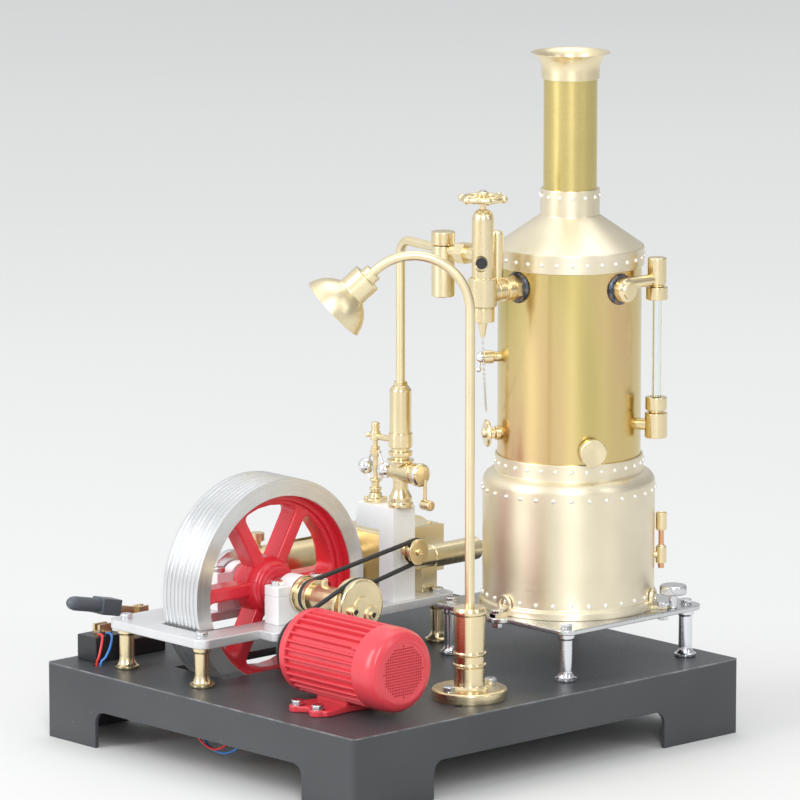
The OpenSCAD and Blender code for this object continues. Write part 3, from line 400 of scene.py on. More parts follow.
class Shape:
    """One piece under construction, in millimetres."""

    def __init__(self):
        self.mesh = bmesh.new()
        self.along = self.mesh.verts.layers.float.new("along")
        self.around = self.mesh.verts.layers.float_vector.new("around")

    def _ring(self, place, radius, height, steps, along, knurl):
        if radius < 1e-6:
            vert = self.mesh.verts.new(place @ Vector((0, 0, height)))
            vert[self.along] = along
            return [vert]
        ring = []
        for i in range(steps):
            a = math.tau * i / steps
            r = radius
            if knurl and knurl[2] <= height <= knurl[3]:
                r -= knurl[1] * (i % 2)
            vert = self.mesh.verts.new(place @ Vector((r * math.cos(a), r * math.sin(a), height)))
            vert[self.along] = along
            vert[self.around] = place.to_3x3() @ Vector((-math.sin(a), math.cos(a), 0))
            ring.append(vert)
        return ring

    def _skin(self, rings, loop):
        """Faces from each ring to the next. A ring on the axis is a single vertex."""
        steps = max(len(ring) for ring in rings)
        for low, high in list(zip(rings, rings[1:])) + ([(rings[-1], rings[0])] if loop else []):
            for i in range(steps):
                j = (i + 1) % steps
                corners = (low[i % len(low)], low[j % len(low)], high[j % len(high)], high[i % len(high)])
                corners = list(dict.fromkeys(corners))
                if len(corners) > 2:
                    self.mesh.faces.new(corners)

    def turn(self, outline, place, soft=0.3, steps=64, closed=False, knurl=None):
        """A solid turned about the place's Z axis from (radius, height) points.
        A knurl is (ribs, depth, lowest, highest)."""
        points = rounded(outline, soft, closed)
        steps = knurl[0] * 2 if knurl else steps
        travel = 0
        rings = []
        for i, point in enumerate(points):
            travel += (point - points[i - 1]).length if i else 0
            rings.append(self._ring(place, point[0], point[1], steps, travel, knurl))
        self._skin(rings, closed)
        return self

    def cylinder(self, radius, low, high, place, soft=0.3, steps=64, knurl=None):
        """A plain cylinder about the place's Z axis."""
        outline = [(0, low), (radius, low), (radius, high), (0, high)]
        return self.turn(outline, place, soft, steps, knurl=knurl)

    def collar(self, bore, radius, low, high, place, soft=0.3, steps=64, knurl=None):
        """A plain ring about the place's Z axis."""
        outline = [(bore, low), (radius, low), (radius, high), (bore, high)]
        return self.turn(outline, place, soft, steps, closed=True, knurl=knurl)

    def tube(self, path, radius, sides=16, loop=False):
        """A round bar along a path of points."""
        path = [Vector(point) for point in path]
        count = len(path)
        side = None
        rings = []
        travel = 0
        for i, point in enumerate(path):
            before = path[i - 1] if i or loop else point
            after = path[(i + 1) % count] if i < count - 1 or loop else point
            way = (after - before).normalized()
            side = way.orthogonal() if side is None else side - way * side.dot(way)
            side.normalize()
            across = way.cross(side)
            travel += (point - path[i - 1]).length if i else 0
            ring = []
            for k in range(sides):
                a = math.tau * k / sides
                vert = self.mesh.verts.new(point + radius * (side * math.cos(a) + across * math.sin(a)))
                vert[self.along] = travel
                vert[self.around] = across * math.cos(a) - side * math.sin(a)
                ring.append(vert)
            rings.append(ring)
        self._skin(rings, loop)
        if not loop:
            self.mesh.faces.new(rings[0])
            self.mesh.faces.new(rings[-1])
        return self

    def bar(self, start, end, radius, sides=24):
        """A straight round bar with slightly rounded ends."""
        start, end = Vector(start), Vector(end)
        run = end - start
        return self.cylinder(radius, 0, run.length, at(start, run), min(0.3, radius * 0.4), sides)

    def ball(self, centre, radius, steps=32):
        half = steps // 2
        arc = [(radius * math.sin(a), -radius * math.cos(a))
               for a in (math.pi * k / half for k in range(1, half))]
        return self.turn([(0, -radius), *arc, (0, radius)], at(centre), 0, steps)

    def plate(self, outlines, low, high, place=Matrix.Identity(4), soft=0.4):
        """A flat plate from z = low to z = high, whose first outline is its edge and the rest its holes."""
        curve = bpy.data.curves.new("outline", "CURVE")
        curve.dimensions = "2D"
        curve.fill_mode = "BOTH"
        curve.extrude = (high - low) / 2 - soft
        curve.bevel_depth = soft
        curve.bevel_resolution = 2
        curve.offset = -soft
        for outline in outlines:
            spline = curve.splines.new("POLY")
            spline.points.add(len(outline) - 1)
            for point, target in zip(outline, spline.points):
                target.co = (point[0], point[1], 0, 1)
            spline.use_cyclic_u = True
        holder = linked("outline", curve)
        mesh = bpy.data.meshes.new_from_object(holder.evaluated_get(bpy.context.evaluated_depsgraph_get()))
        mesh.transform(place @ Matrix.Translation((0, 0, (low + high) / 2)))
        self.mesh.from_mesh(mesh)
        bpy.data.objects.remove(holder)
        bpy.data.curves.remove(curve)
        bpy.data.meshes.remove(mesh)
        self.along = self.mesh.verts.layers.float["along"]
        self.around = self.mesh.verts.layers.float_vector["around"]
        return self

    def block(self, low, high, soft=0.4, place=Matrix.Identity(4)):
        """A box between two corners with rounded edges."""
        low, high = Vector(low), Vector(high)
        centre, size = (low + high) / 2, high - low
        made = bmesh.ops.create_cube(self.mesh, size=1)["verts"]
        for vert in made:
            vert.co = place @ (centre + Vector(vert.co[k] * size[k] for k in range(3)))
        edges = list({edge for vert in made for edge in vert.link_edges})
        bmesh.ops.bevel(self.mesh, geom=edges, offset=soft, segments=3, affect="EDGES", profile=0.5,
                        clamp_overlap=True)
        return self

    def hexagon(self, radius, low, high, place, soft):
        """A hexagonal prism about the place's Z axis."""
        return self.plate([circle(radius, 6)], low, high, place, soft)

    def copy_of(self, name, soft):
        """The CAD node's own shape with its edges rounded."""
        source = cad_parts[name].data.copy()
        source.transform(Matrix.Scale(1 / MM, 4))
        self.mesh.from_mesh(source)
        bpy.data.meshes.remove(source)
        bmesh.ops.remove_doubles(self.mesh, verts=self.mesh.verts, dist=0.001)
        bmesh.ops.dissolve_limit(self.mesh, angle_limit=math.radians(1), verts=self.mesh.verts,
                                 edges=self.mesh.edges)
        sharp = [edge for edge in self.mesh.edges
                 if edge.is_manifold and edge.calc_face_angle(0) > math.radians(32)]
        bmesh.ops.bevel(self.mesh, geom=sharp, offset=soft, segments=2, affect="EDGES", profile=0.5,
                        clamp_overlap=True)
        return self

    def done(self, name, material, slot, body="root", replaces=None):
        """Makes the piece, which rides on the body and stands for CAD nodes: for the one of its own name
        where there is one, unless others are given."""
        if replaces is None:
            replaces = [name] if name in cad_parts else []
        bmesh.ops.remove_doubles(self.mesh, verts=self.mesh.verts, dist=0.0005)
        bmesh.ops.recalc_face_normals(self.mesh, faces=self.mesh.faces)
        for vert in self.mesh.verts:
            if vert[self.around].length < 0.1:
                vert[self.around] = X_AXIS
        mesh = bpy.data.meshes.new(name)
        self.mesh.to_mesh(mesh)
        self.mesh.free()
        mesh.transform(Matrix.Scale(MM, 4))
        mesh.materials.append(material)
        mesh.shade_smooth()
        mesh.set_sharp_from_angle(angle=SHARP_ANGLE)
        piece = linked(name, mesh)
        even = piece.modifiers.new("even normals", "WEIGHTED_NORMAL")
        even.keep_sharp = True
        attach(piece, body)
        if replaces:
            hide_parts(*replaces)
        return piece


def groove(radius, bottom, centre):
    """The points of a belt's groove in a pulley's outline."""
    half = 1.15
    low, high = centre - half, centre + half
    return [(radius, low), (bottom, low), (bottom, high), (radius, high)]


def hex_bolt(shape, place, shank, head=2.4):
    """An M3 hexagon head with a chamfered top on a thin washer face, and its shank below."""
    radius = 3.1
    crown = [(0, head - 0.4), (radius * 0.97, head - 0.4), (radius * 0.87, head), (0, head - 0.05)]
    shape.cylinder(radius * 0.9, 0, 0.3, place, 0.1, 32)
    shape.hexagon(radius, 0.25, head - 0.25, place, 0.12)
    shape.turn(crown, place, 0.1, 48)
    shape.cylinder(1.5, -shank, 0.1, place, 0.1, 24)


def on_boiler(angle, height, reach=0.0):
    """A place on the boiler's side whose Z axis points outwards."""
    outwards = heading(math.radians(angle))
    return at(BOILER + outwards * reach + Z_AXIS * height, outwards)


# Pieces that keep the CAD's own shape

def make_copies():
    Shape().copy_of("base_tray", 0.7).done("tray", TRAY_COAT, "tray_black", replaces=["base_tray"])
    for name, soft, material, slot, body in (
            ("boiler_plate", 0.5, PLATE_STEEL, "bright_steel", "root"),
            ("stop_valve", 0.25, SATIN_METAL, "satin_brass", "root"),
            ("governor_standard", 0.5, WHITE_ALUMINIUM, "white_aluminium", "root"),
            ("engine_bed", 0.5, ALUMINIUM, "satin_aluminium", "root"),
            ("bearing_blocks", 0.45, WHITE_ALUMINIUM, "white_aluminium", "root"),
            ("bearing_caps", 0.45, WHITE_ALUMINIUM, "white_aluminium", "root"),
            ("connecting_rod", 0.3, PLATE_STEEL, "bright_steel", "rod"),
            ("crosshead", 0.25, PLATE_STEEL, "bright_steel", "slide_block"),
            ("engine_cylinder", 0.5, MILLED_BRASS, "satin_brass", "root"),
            ("switch_base", 0.5, BLACK_PLASTIC, "black_plastic", "root")):
        Shape().copy_of(name, soft).done(name, material, slot, body)


# Legs and bolts


def leg_outline(height, stem, foot):
    """A turned leg with a flared foot, a thin waist and a collar."""
    flare = foot - stem
    sweep = [(stem + flare * (1 - math.sin(a)), 1.6 + flare * 1.8 * (1 - math.cos(a)))
             for a in (math.radians(10 * k) for k in range(10))]
    return [(0, 0), (foot - 0.4, 0), (foot, 0.5), (foot, 1.4), *sweep, (stem, height - 3.2),
            (stem + 0.8, height - 2.4), (stem + 0.8, height), (0, height)]


BOILER_LEGS = [(BOILER.x + x * 40, BOILER.y + y * 40) for x in (-1, 1) for y in (-1, 1)]
BED_LEGS = [(-105, 19), (-105, 74), (45, 17), (45, 74)]
GENERATOR_FEET = [(GENERATOR.x + x, y) for x in (-24, 24) for y in (-49, -63)]
LUG_ANGLES = (60, 180, 300)


def make_legs():
    boiler_legs = Shape()
    for x, y in BOILER_LEGS:
        boiler_legs.turn(leg_outline(23.3, 3.3, 5.3), at((x, y, TRAY_TOP)), 0.25, 48)
    boiler_legs.done("boiler_legs", POLISHED_STEEL, "satin_aluminium")
    bed_legs = Shape()
    for x, y in BED_LEGS:
        bed_legs.turn(leg_outline(19.6, 3.6, 6.0), at((x, y, TRAY_TOP)), 0.25, 48)
    bed_legs.done("bed_legs", BRASS, "satin_brass")


def make_bolts():
    bolts = Shape()
    for x, y in BOILER_LEGS:
        hex_bolt(bolts, at((x, y, FIREBOX_LOW)), shank=7)
    for x, y in BED_LEGS:
        hex_bolt(bolts, at((x, y, BED_TOP)), shank=7)
    for x in (-12.4, 12.4):
        for y in (17, 59):
            hex_bolt(bolts, at((SHAFT.x + x, y, SHAFT.z + 5)), shank=10)
    for x in (-13.3, 13.3):
        hex_bolt(bolts, at((LAMP.x + x, LAMP.y, TRAY_TOP + 5.1)), shank=7)
    for x, y in GENERATOR_FEET:
        hex_bolt(bolts, at((x, y, TRAY_TOP + 3)), shank=5)
    for angle in LUG_ANGLES:
        foot = BOILER + heading(math.radians(angle)) * 47.4
        hex_bolt(bolts, at(foot + Z_AXIS * (FIREBOX_LOW + 1.6)), shank=6.6, head=2)
        bolts.hexagon(2.6, 57, 59.2, at(foot), 0.2)
    bolts.done("hex_bolts", BOLT_STEEL, "bright_steel")


# Boiler

def make_firebox():
    shoulder = [(NECK_R + (FIREBOX_R - NECK_R) * math.cos(a), 122.5 + 5.5 * math.sin(a))
                for a in (math.radians(10 * k) for k in range(10))]
    outline = [(40.2, FIREBOX_LOW), (42.8, FIREBOX_LOW), (42.8, 65.6), (FIREBOX_R, 66.6), *shoulder,
               (NECK_R, 136.2), (SHELL_R, 136.2), (SHELL_R, SHELL_LOW), (40.2, 121.5)]
    shape = Shape().turn(outline, at(BOILER), 0.5, 192, closed=True)
    shape.done("firebox", CHAMPAGNE, "champagne_brass")
    lugs = Shape()
    for angle in LUG_ANGLES:
        ring = on_boiler(angle, 67.8, 40.6)
        lugs.collar(2.6, 4.4, 1, 2.6, ring, 0.35, 40)
        turn = Matrix.Translation(BOILER) @ Matrix.Rotation(math.radians(angle), 4, "Z")
        lugs.block((41.5, -2, FIREBOX_LOW), (49.8, 2, FIREBOX_LOW + 1.6), 0.35, turn)
    lugs.done("firebox_lugs", CHAMPAGNE, "champagne_brass")


def make_smokebox():
    outline = [(SHELL_R, 227.7), (NECK_R, 227.7), (NECK_R, 236.8), (COLLAR_R, 251.7), (COLLAR_R, 264.4),
               (CHIMNEY_R, 264.4), (CHIMNEY_R, 251.1), (SHELL_R, 236.2)]
    shape = Shape().turn(outline, at(BOILER), 0.5, 192, closed=True)
    shape.done("smokebox", CHAMPAGNE, "champagne_brass")


def make_rivets():
    """Snap heads: a shallow dome on a short neck, five seams of them."""
    head = 1.05
    dome = [(0, -0.4), (head, -0.4), *((head * math.cos(a), 0.95 * math.sin(a))
                                      for a in (math.radians(18 * k) for k in range(5))), (0, 0.95)]
    rivets = Shape()
    seams = ((FIREBOX_R, 68.9, 30), (FIREBOX_R, 119.8, 30), (NECK_R, 132.8, 30), (NECK_R, 232, 30),
             (COLLAR_R, 261, 14))
    for radius, height, count in seams:
        for i in range(count):
            rivets.turn(dome, on_boiler(360 * i / count, height, radius), 0.1, 16)
    rivets.done("rivets", RIVET_SILVER, "rivet_silver")


def make_shell():
    shape = Shape().cylinder(SHELL_R, SHELL_LOW, 235.8, at(BOILER), 0.3, 192)
    shape.done("boiler_shell", TINTED_BRASS, "tinted_brass")
    rings = Shape()
    for angle, height, radius, bore in ((180, STEAM_BOSS_Z, 7.3, 3), (270, STEAM_BOSS_Z - 0.5, 7.3, 3),
                                        (243.5, 142.5, 5.9, 4)):
        outline = [(bore, 0), (radius, 0), (radius + 0.3, 1), (radius - 0.6, 1.9), (bore, 1.9)]
        rings.turn(outline, on_boiler(angle, height, SHELL_R - 0.7), 0.4, 64, closed=True)
    rings.done("boss_rings", BLUED, "solder_dark")
    plug = Shape().turn([(0, 0), (4, 0), (4, 3.7), (6.6, 3.7), (6.6, 7), (6.2, 7.4), (0, 7.1)],
                        on_boiler(243.5, 142.5, SHELL_R - 2.5), 0.25, knurl=(60, 0.16, 3.9, 6.8))
    plug.done("filler_plug", SATIN_BRASS, "satin_brass")


def make_chimney():
    tube = Shape().collar(11.6, CHIMNEY_R, 251.7, 320, at(BOILER), 0.2, 128)
    tube.done("chimney_tube", DEEP_BRASS, "rich_brass")
    steps = 16
    wall = 1.0
    flare = 19.1 - CHIMNEY_R - wall
    rise = [k / steps for k in range(steps + 1)]
    spread = [flare * (1 - math.sqrt(1 - 0.96 * t * t)) / 0.8 for t in rise]
    outer = [(CHIMNEY_R + wall + s, 321 + 8.4 * t) for s, t in zip(spread, rise)]
    inner = [(CHIMNEY_R + s, 321 + 8.4 * t) for s, t in zip(spread, rise)]
    outline = [(CHIMNEY_R, 317), (CHIMNEY_R + wall, 317), *outer, *reversed(inner)]
    bell = Shape().turn(outline, at(BOILER), 0.2, 128, closed=True)
    bell.done("chimney_bell", SATIN_BRASS, "champagne_brass")


def make_gauge():
    elbow = Vector((BOILER.x + 1.5, GAUGE.y, STEAM_BOSS_Z - 0.5))
    fittings = Shape()
    fittings.turn([(0, 219), (3.6, 219), (3.6, 220), (4.5, 220.4), (4.5, 232.6), (4.1, 233), (0, 233)],
                  at(GAUGE), 0.3)
    fittings.turn([(0, 146), (5.2, 146), (5.4, 146.4), (5.4, 158), (3.6, 158.4), (3.6, 159.4), (0, 159.4)],
                  at(GAUGE), 0.3)
    for z in (159.5, 212.8):
        fittings.collar(2.4, 5.2, z, z + 6.1, at(GAUGE), 0.4, knurl=(44, 0.28, z + 0.6, z + 5.5))
    fittings.bar(elbow + Z_AXIS * 3, (GAUGE.x - 4, GAUGE.y, elbow.z + 3), 2.8)
    fittings.ball(elbow, 4)
    fittings.bar(elbow, elbow + Z_AXIS * 3, 2.8)
    union = Vector((BOILER.x, BOILER.y - SHELL_R - 1.2, elbow.z))
    fittings.turn([(0, 0), (5.8, 0), (5.8, 4.2), (4, 5.4), (4, 6.4), (0, 6.4)], at(union, -Y_AXIS), 0.4)
    fittings.bar(union - Y_AXIS * 3, (BOILER.x, GAUGE.y, elbow.z), 2.98)
    fittings.bar((GAUGE.x, GAUGE.y, 152), (GAUGE.x - 7.6, GAUGE.y + 13, 152), 2.8)
    fittings.done("gauge_fittings", BRASS, "satin_brass")
    glass = Shape().collar(1.4, 2.3, 156.6, 223.9, at(GAUGE), 0.1, 40)
    glass.done("gauge_glass", GLASS, "gauge_glass")


def make_burner():
    reach = 44.6
    jet = on_boiler(317, 86)
    upright = at(jet @ Vector((0, 0, reach)))
    body = Shape().bar(jet @ Vector((0, 0, FIREBOX_R - 1.2)), jet @ Vector((0, 0, reach)), 1.8)
    body.turn([(0, -4), (2.6, -4), (2.6, 4), (1.7, 4.5), (1.7, 5), (0, 5)], upright, 0.4, 40)
    body.turn([(1.2, 12), (2.3, 12), (2.7, 13), (2.7, 20.6), (1.9, 20.6), (1.9, 18.5), (1.2, 18.5)],
              upright, 0.2, closed=True, knurl=(24, 0.2, 13.4, 20))
    body.done("burner_jet", BRASS, "copper_brass")
    needle = Shape().turn([(0, -6.5), (1.5, -6.5), (1.5, -4), (1.3, 0), (1.3, 12.5), (0, 12.5)], upright,
                          0.2, 32)
    needle.done("burner_needle", COPPER, "copper_brass")
    screw = Shape().turn([(0, -2), (2, -2), (2, 5), (6.1, 5), (6.5, 5.4), (6.5, 8.8), (5.9, 9.4), (0, 9.4)],
                         at((98.5, -91.5, FIREBOX_LOW + 2)), 0.35, knurl=(48, 0.3, 5.6, 8.6))
    screw.done("burner_screw", STEEL, "bright_steel", "burner_knob")


# Valves on top of the boiler

def make_stop_valve():
    nuts = Shape()
    place = at((VALVE.x, VALVE.y, STEAM_BOSS_Z), X_AXIS)
    nuts.cylinder(5.7, 13.2, 17.8, place, 0.5, knurl=(44, 0.2, 13.9, 17.2))
    nuts.cylinder(4.9, 7.6, 9, place, 0.4)
    nuts.cylinder(5.6, 206.3, 212.9, at(VALVE), 0.35, knurl=(18, 0.45, 206.9, 212.4))
    nuts.done("stop_valve_nuts", BRASS, "satin_brass")
    # A thin black disc set inside the valve's mouth: painted shade in the opening.
    inwards = Vector((-5.4, -4, 0)).normalized()
    mouth = Shape().cylinder(2.8, 3.3, 3.6, at(VALVE + Z_AXIS * 234.5, inwards), 0.1, 40)
    mouth.done("stop_valve_mouth_shade", BLACK_PLASTIC, "black_plastic")


def make_handwheel():
    ring_r = 9
    wheel = Shape().bar(VALVE + Z_AXIS * 246, VALVE + Z_AXIS * 266, 1.5)
    place = at(VALVE)
    wheel.turn([(0, 263), (3, 263), (3, 267.6), (2, 268.4), (0, 268.4)], place, 0.4, 40)
    centre = VALVE + Z_AXIS * 265
    wheel.tube([(x, y, centre.z) for x, y in circle(ring_r, 96, centre)], 1.5, 20, loop=True)
    for k in range(6):
        out = heading(math.tau * k / 6)
        wheel.bar(centre + out * 2, centre + out * ring_r, 1, 20)
        wheel.ball(centre + out * (ring_r + 1.3), 1.9, 24)
    wheel.done("handwheel", BRASS, "satin_brass", "valve_wheel")
    cap = Shape().turn([(0, 268), (1.7, 268), (1.7, 268.9), (0, 269.2)], place, 0.3, 6)
    cap.done("handwheel_nut", STEEL, "satin_brass", "valve_wheel")


def make_side_valves():
    safety = Shape().turn([(0, 224.5), (3, 224.5), (3, 246), (2.4, 247.6), (1, 248), (0, 248)],
                          at((VALVE.x + 13, VALVE.y + 4, 0)), 0.3, 40)
    safety.done("safety_valve", SATIN_BRASS, "satin_brass")
    cup = Shape().turn([(0, 215), (5.1, 215), (5.5, 215.4), (5.5, 239.4), (4.2, 239.8), (4.2, 240), (0, 240)],
                       at(LUBRICATOR), 0.3)
    cup.done("lubricator", SATIN_BRASS, "satin_brass")
    cap = Shape().turn([(0, 236), (2, 236), (2, 240.1), (5.7, 240.1), (5.7, 246.2), (0, 246.2)],
                       at(LUBRICATOR), 0.45, knurl=(52, 0.2, 240.7, 245.6))
    cap.done("lubricator_cap", BRASS, "satin_brass", "oiler_lid")


def make_cocks():
    angle = math.degrees(COCK_ANGLE)
    high = on_boiler(angle, 184, SHELL_R - 1)
    low = on_boiler(angle, 147, SHELL_R - 1)
    cocks = Shape()
    cocks.turn([(0, 0), (2.4, 0), (2.4, 4), (3.2, 4.4), (3.2, 9), (0, 9)], high, 0.3, 40)
    cocks.turn([(0, 0), (3.4, 0), (3.4, 3), (2.6, 3.4), (2.6, 6), (0, 6)], low, 0.3, 40)
    cocks.done("boiler_cocks", BRASS, "satin_brass")
    lever = Shape().turn([(0, 9.2), (2.6, 9.2), (2.9, 10.6), (1.6, 12.2), (0, 12.2)], high, 0.3, 32)
    grip = on_boiler(angle, 178) @ Vector((0, 0, SHELL_R + 10.2))
    lever.bar(on_boiler(angle, 184) @ Vector((0, 0, SHELL_R + 9.6)), grip, 0.8, 16)
    lever.ball(grip, 1.3, 20)
    lever.done("try_cock_lever", CHROME, "chrome", "try_cock")
    wheel = Shape().turn([(0, 6.1), (6.2, 6.1), (6.7, 6.7), (6.2, 8), (2.4, 8.2), (2.2, 9.5), (0, 9.5)],
                         low, 0.3, knurl=(40, 0.18, 6.5, 7.8))
    wheel.done("blowdown_wheel", BRASS, "satin_brass", "blowdown")


def sagging(start, end, sag, count):
    """Points from start to end along a line that hangs."""
    return [start.lerp(end, k / count) - Z_AXIS * 4 * sag * k / count * (1 - k / count)
            for k in range(count + 1)]


def make_chain():
    """Fine oval links, each turned a quarter from the last."""
    start = VALVE + Z_AXIS * 199.4
    end = BOILER + heading(COCK_ANGLE) * 38 + Vector((0, 4, 157))
    count = 34
    points = sagging(start, end, 3, count)
    chain = Shape()
    for k, (low, high) in enumerate(zip(points, points[1:])):
        place = at((low + high) / 2, high - low) @ Matrix.Rotation(math.radians(90 * k), 4, "Z")
        link = [place @ Vector((0.42 * math.cos(t), 0, 0.95 * math.sin(t))) for t in
                (math.tau * i / 14 for i in range(14))]
        chain.tube(link, 0.16, 6, loop=True)
    chain.done("valve_chain", CHROME, "chrome")


def make_pipe():
    run = (THROTTLE - LUBRICATOR).normalized()
    reach = (THROTTLE - LUBRICATOR).length
    bend = 8
    top = LUBRICATOR + Z_AXIS * PIPE_Z
    corner = top + run * (reach - bend)
    path = [top + run * 5, corner - run * 4]
    path += [corner + run * bend * math.sin(a) - Z_AXIS * bend * (1 - math.cos(a))
             for a in (math.radians(7.5 * k) for k in range(13))]
    path.append(THROTTLE + Z_AXIS * PIPE_LOW)
    pipe = Shape().tube(path, 2.25, 32)
    pipe.done("steam_pipe", SATIN_BRASS, "satin_brass")
    place = at(THROTTLE)
    coupling = Shape()
    coupling.turn([(0, 129.9), (4.2, 129.9), (4.2, 131.4), (5.8, 131.8), (5.8, 133.9), (4.6, 134.2),
                   (4.6, 136), (0, 136)], place, 0.2)
    coupling.cylinder(5.8, 135.8, 143, place, 0.45, knurl=(48, 0.3, 136.4, 142.4))
    coupling.turn([(0, 142.9), (5.3, 142.9), (5.3, 164), (3.6, 166.2), (0, 166.2)], place, 0.4)
    coupling.hexagon(3.4, 165.8, 168, place, 0.3)
    coupling.done("pipe_coupling", BRASS, "satin_brass")


def make_throttle():
    x = THROTTLE.x
    valve = Shape()
    barrel = at((x, 0, THROTTLE_Z), Y_AXIS)
    foot = at(THROTTLE + Z_AXIS * COLUMN_TOP)
    stem = THROTTLE_Z - COLUMN_TOP
    valve.cylinder(4.5, THROTTLE_FACE, 20.5, barrel, 0.5)
    valve.cylinder(5.1, 6.5, 12, barrel, 0.4, knurl=(44, 0.25, 7, 11.5))
    valve.turn([(0, 0), (6.3, 0), (6.3, 2), (5.6, 2.4), (5.6, 5), (4.4, 7.2), (3.7, 9), (3.7, stem),
                (0, stem)], foot, 0.5)
    valve.turn([(0, 0), (4.2, 0), (4.2, 4.6), (6.6, 4.9), (6.6, 5.9), (0, 5.9)],
               at((x, THROTTLE.y, THROTTLE_Z)), 0.25)
    valve.done("throttle_valve", BRASS, "satin_brass")
    face = at((x, THROTTLE_FACE - 0.2, THROTTLE_Z), -Y_AXIS)
    lever = Shape().turn([(0, 0), (5.3, 0), (5.6, 0.6), (5.6, 3), (4.6, 4.2), (0, 4.8)], face, 0.3)
    lever.bar((x, THROTTLE_FACE - 1.2, THROTTLE_Z), (x, THROTTLE_FACE + 3.2, THROTTLE_Z), 1.5)
    grip = Vector((x + 1.8, 1, THROTTLE_Z - 14.6))
    lever.bar(grip, (grip.x, grip.y, THROTTLE_Z - 2), 0.9, 20)
    lever.cylinder(2.5, -4.4, 1.6, at(grip, Y_AXIS), 0.4, knurl=(28, 0.2, -3.8, 1))
    lever.done("throttle_lever", BRASS, "satin_brass", "throttle_handle")
    ring = Shape().collar(5.3, 5.75, 2, 3.2, face, 0.15, 80)
    ring.done("throttle_lever_ring", CHROME, "chrome", "throttle_handle")


# Governor

def make_governor():
    place = at(GOVERNOR)
    base = Shape().turn([(1.4, COLUMN_TOP), (5.8, COLUMN_TOP), (5.8, COLUMN_TOP + 1.8),
                         (3.4, COLUMN_TOP + 2.4), (3, 111), (1.4, 111)], place, 0.35, closed=True)
    for k in range(4):
        screw = at(GOVERNOR + heading(math.radians(45 + 90 * k)) * 4.7 + Z_AXIS * COLUMN_TOP)
        base.turn([(0, 1.8), (0.8, 1.8), (0.8, 2.6), (0, 2.7)], screw, 0.15, 16)
    base.turn([(0, 141), (2.6, 141), (2.6, 137), (1.4, 137), (1.4, 140), (0, 140)], place, 0.2, 32)
    base.turn([(0, 140.4), (2.6, 140.4), (2.1, 141), (2.1, 145), (1.7, 145.6), (0, 145.6)], place, 0.3, 32)
    bracket = GOVERNOR + Z_AXIS * 138.7
    base.bar(bracket - Y_AXIS * 12.2, bracket - Y_AXIS, 1.5, 24)
    base.bar(bracket + Y_AXIS * 2, bracket + Y_AXIS * 5, 0.7, 16)
    base.ball(bracket + Y_AXIS * 5.2, 1.4, 20)
    base.done("governor_base", BRASS, "satin_brass")
    spindle = Shape().bar(GOVERNOR + Z_AXIS * 98, GOVERNOR + Z_AXIS * 139, 1.25)
    spindle.cylinder(2.4, 111.1, 112.1, place, 0.2, 32)
    spindle.cylinder(2.2, 129, 133.6, place, 0.3, 32)
    pivots = [GOVERNOR + Vector((0, y, 131)) for y in (-2.5, 2.5)]
    for pivot in pivots:
        spindle.bar(pivot - X_AXIS * 1.3, pivot + X_AXIS * 1.3, 0.5, 12)
    spindle.done("governor_spindle", MILLED_BRASS, "satin_brass", "governor_rotor")
    sleeve = Shape().turn([(1.35, 112.2), (3.1, 112.2), (3.1, 113.4), (2, 113.8), (2, 116.2), (2.8, 116.6),
                           (2.8, 117.8), (1.35, 117.8)], place, 0.2, 40, closed=True)
    sleeve.done("governor_sleeve", BRASS, "satin_brass", "governor_slider")
    for way, pivot, side in zip((-1, 1), pivots, ("right", "left")):
        ball = GOVERNOR + Vector((0, way * 6.9, 123))
        arm = Shape().bar(pivot, ball, 0.65, 16)
        arm.bar(ball, GOVERNOR + Vector((0, way * 3.9, 117.2)), 0.45, 16)
        arm.cylinder(1.1, -0.7, 0.7, at(pivot, X_AXIS), 0.2, 20)
        arm.ball(ball, 4, 48)
        arm.done("governor_arm_" + side, CHROME, "chrome", "governor_" + side)
    pulley = at(GOVERNOR_PULLEY, -Y_AXIS)
    wheel = Shape().turn([(0, -2.8), (6.3, -2.8), *groove(6.3, 4.25, 0), (6.3, 2.8), (5.4, 2.95), (0, 2.95)],
                         pulley, 0.25)
    wheel.cylinder(2.6, -7.9, -2, pulley, 0.3, 32)
    wheel.turn([(0, 2.8), (1.8, 2.8), (1.8, 4.2), (0.9, 4.2), (0.9, 3.4), (0, 3.4)], pulley, 0.2, 32)
    wheel.bar(GOVERNOR_PULLEY, GOVERNOR_PULLEY + Y_AXIS * 15, 1.5)
    wheel.done("governor_pulley", BRASS, "satin_brass", "governor_drive")


# Engine

def make_crankshaft():
    shaft = Shape()
    place = at(SHAFT, Y_AXIS)
    shaft.turn([(0, -30), (4, -30), (4, 22.1), (6, 22.1), (6, 28.5), (4, 28.5), (4, 62.6), (13.4, 62.6),
                (13.4, 66), (0, 66)], place, 0.4, 96)
    shaft.bar(SHAFT + Vector((10, 66, 0)), SHAFT + Vector((10, 67.8, 0)), 2)
    shaft.done("crankshaft", STEEL, "bright_steel", "crankshaft")


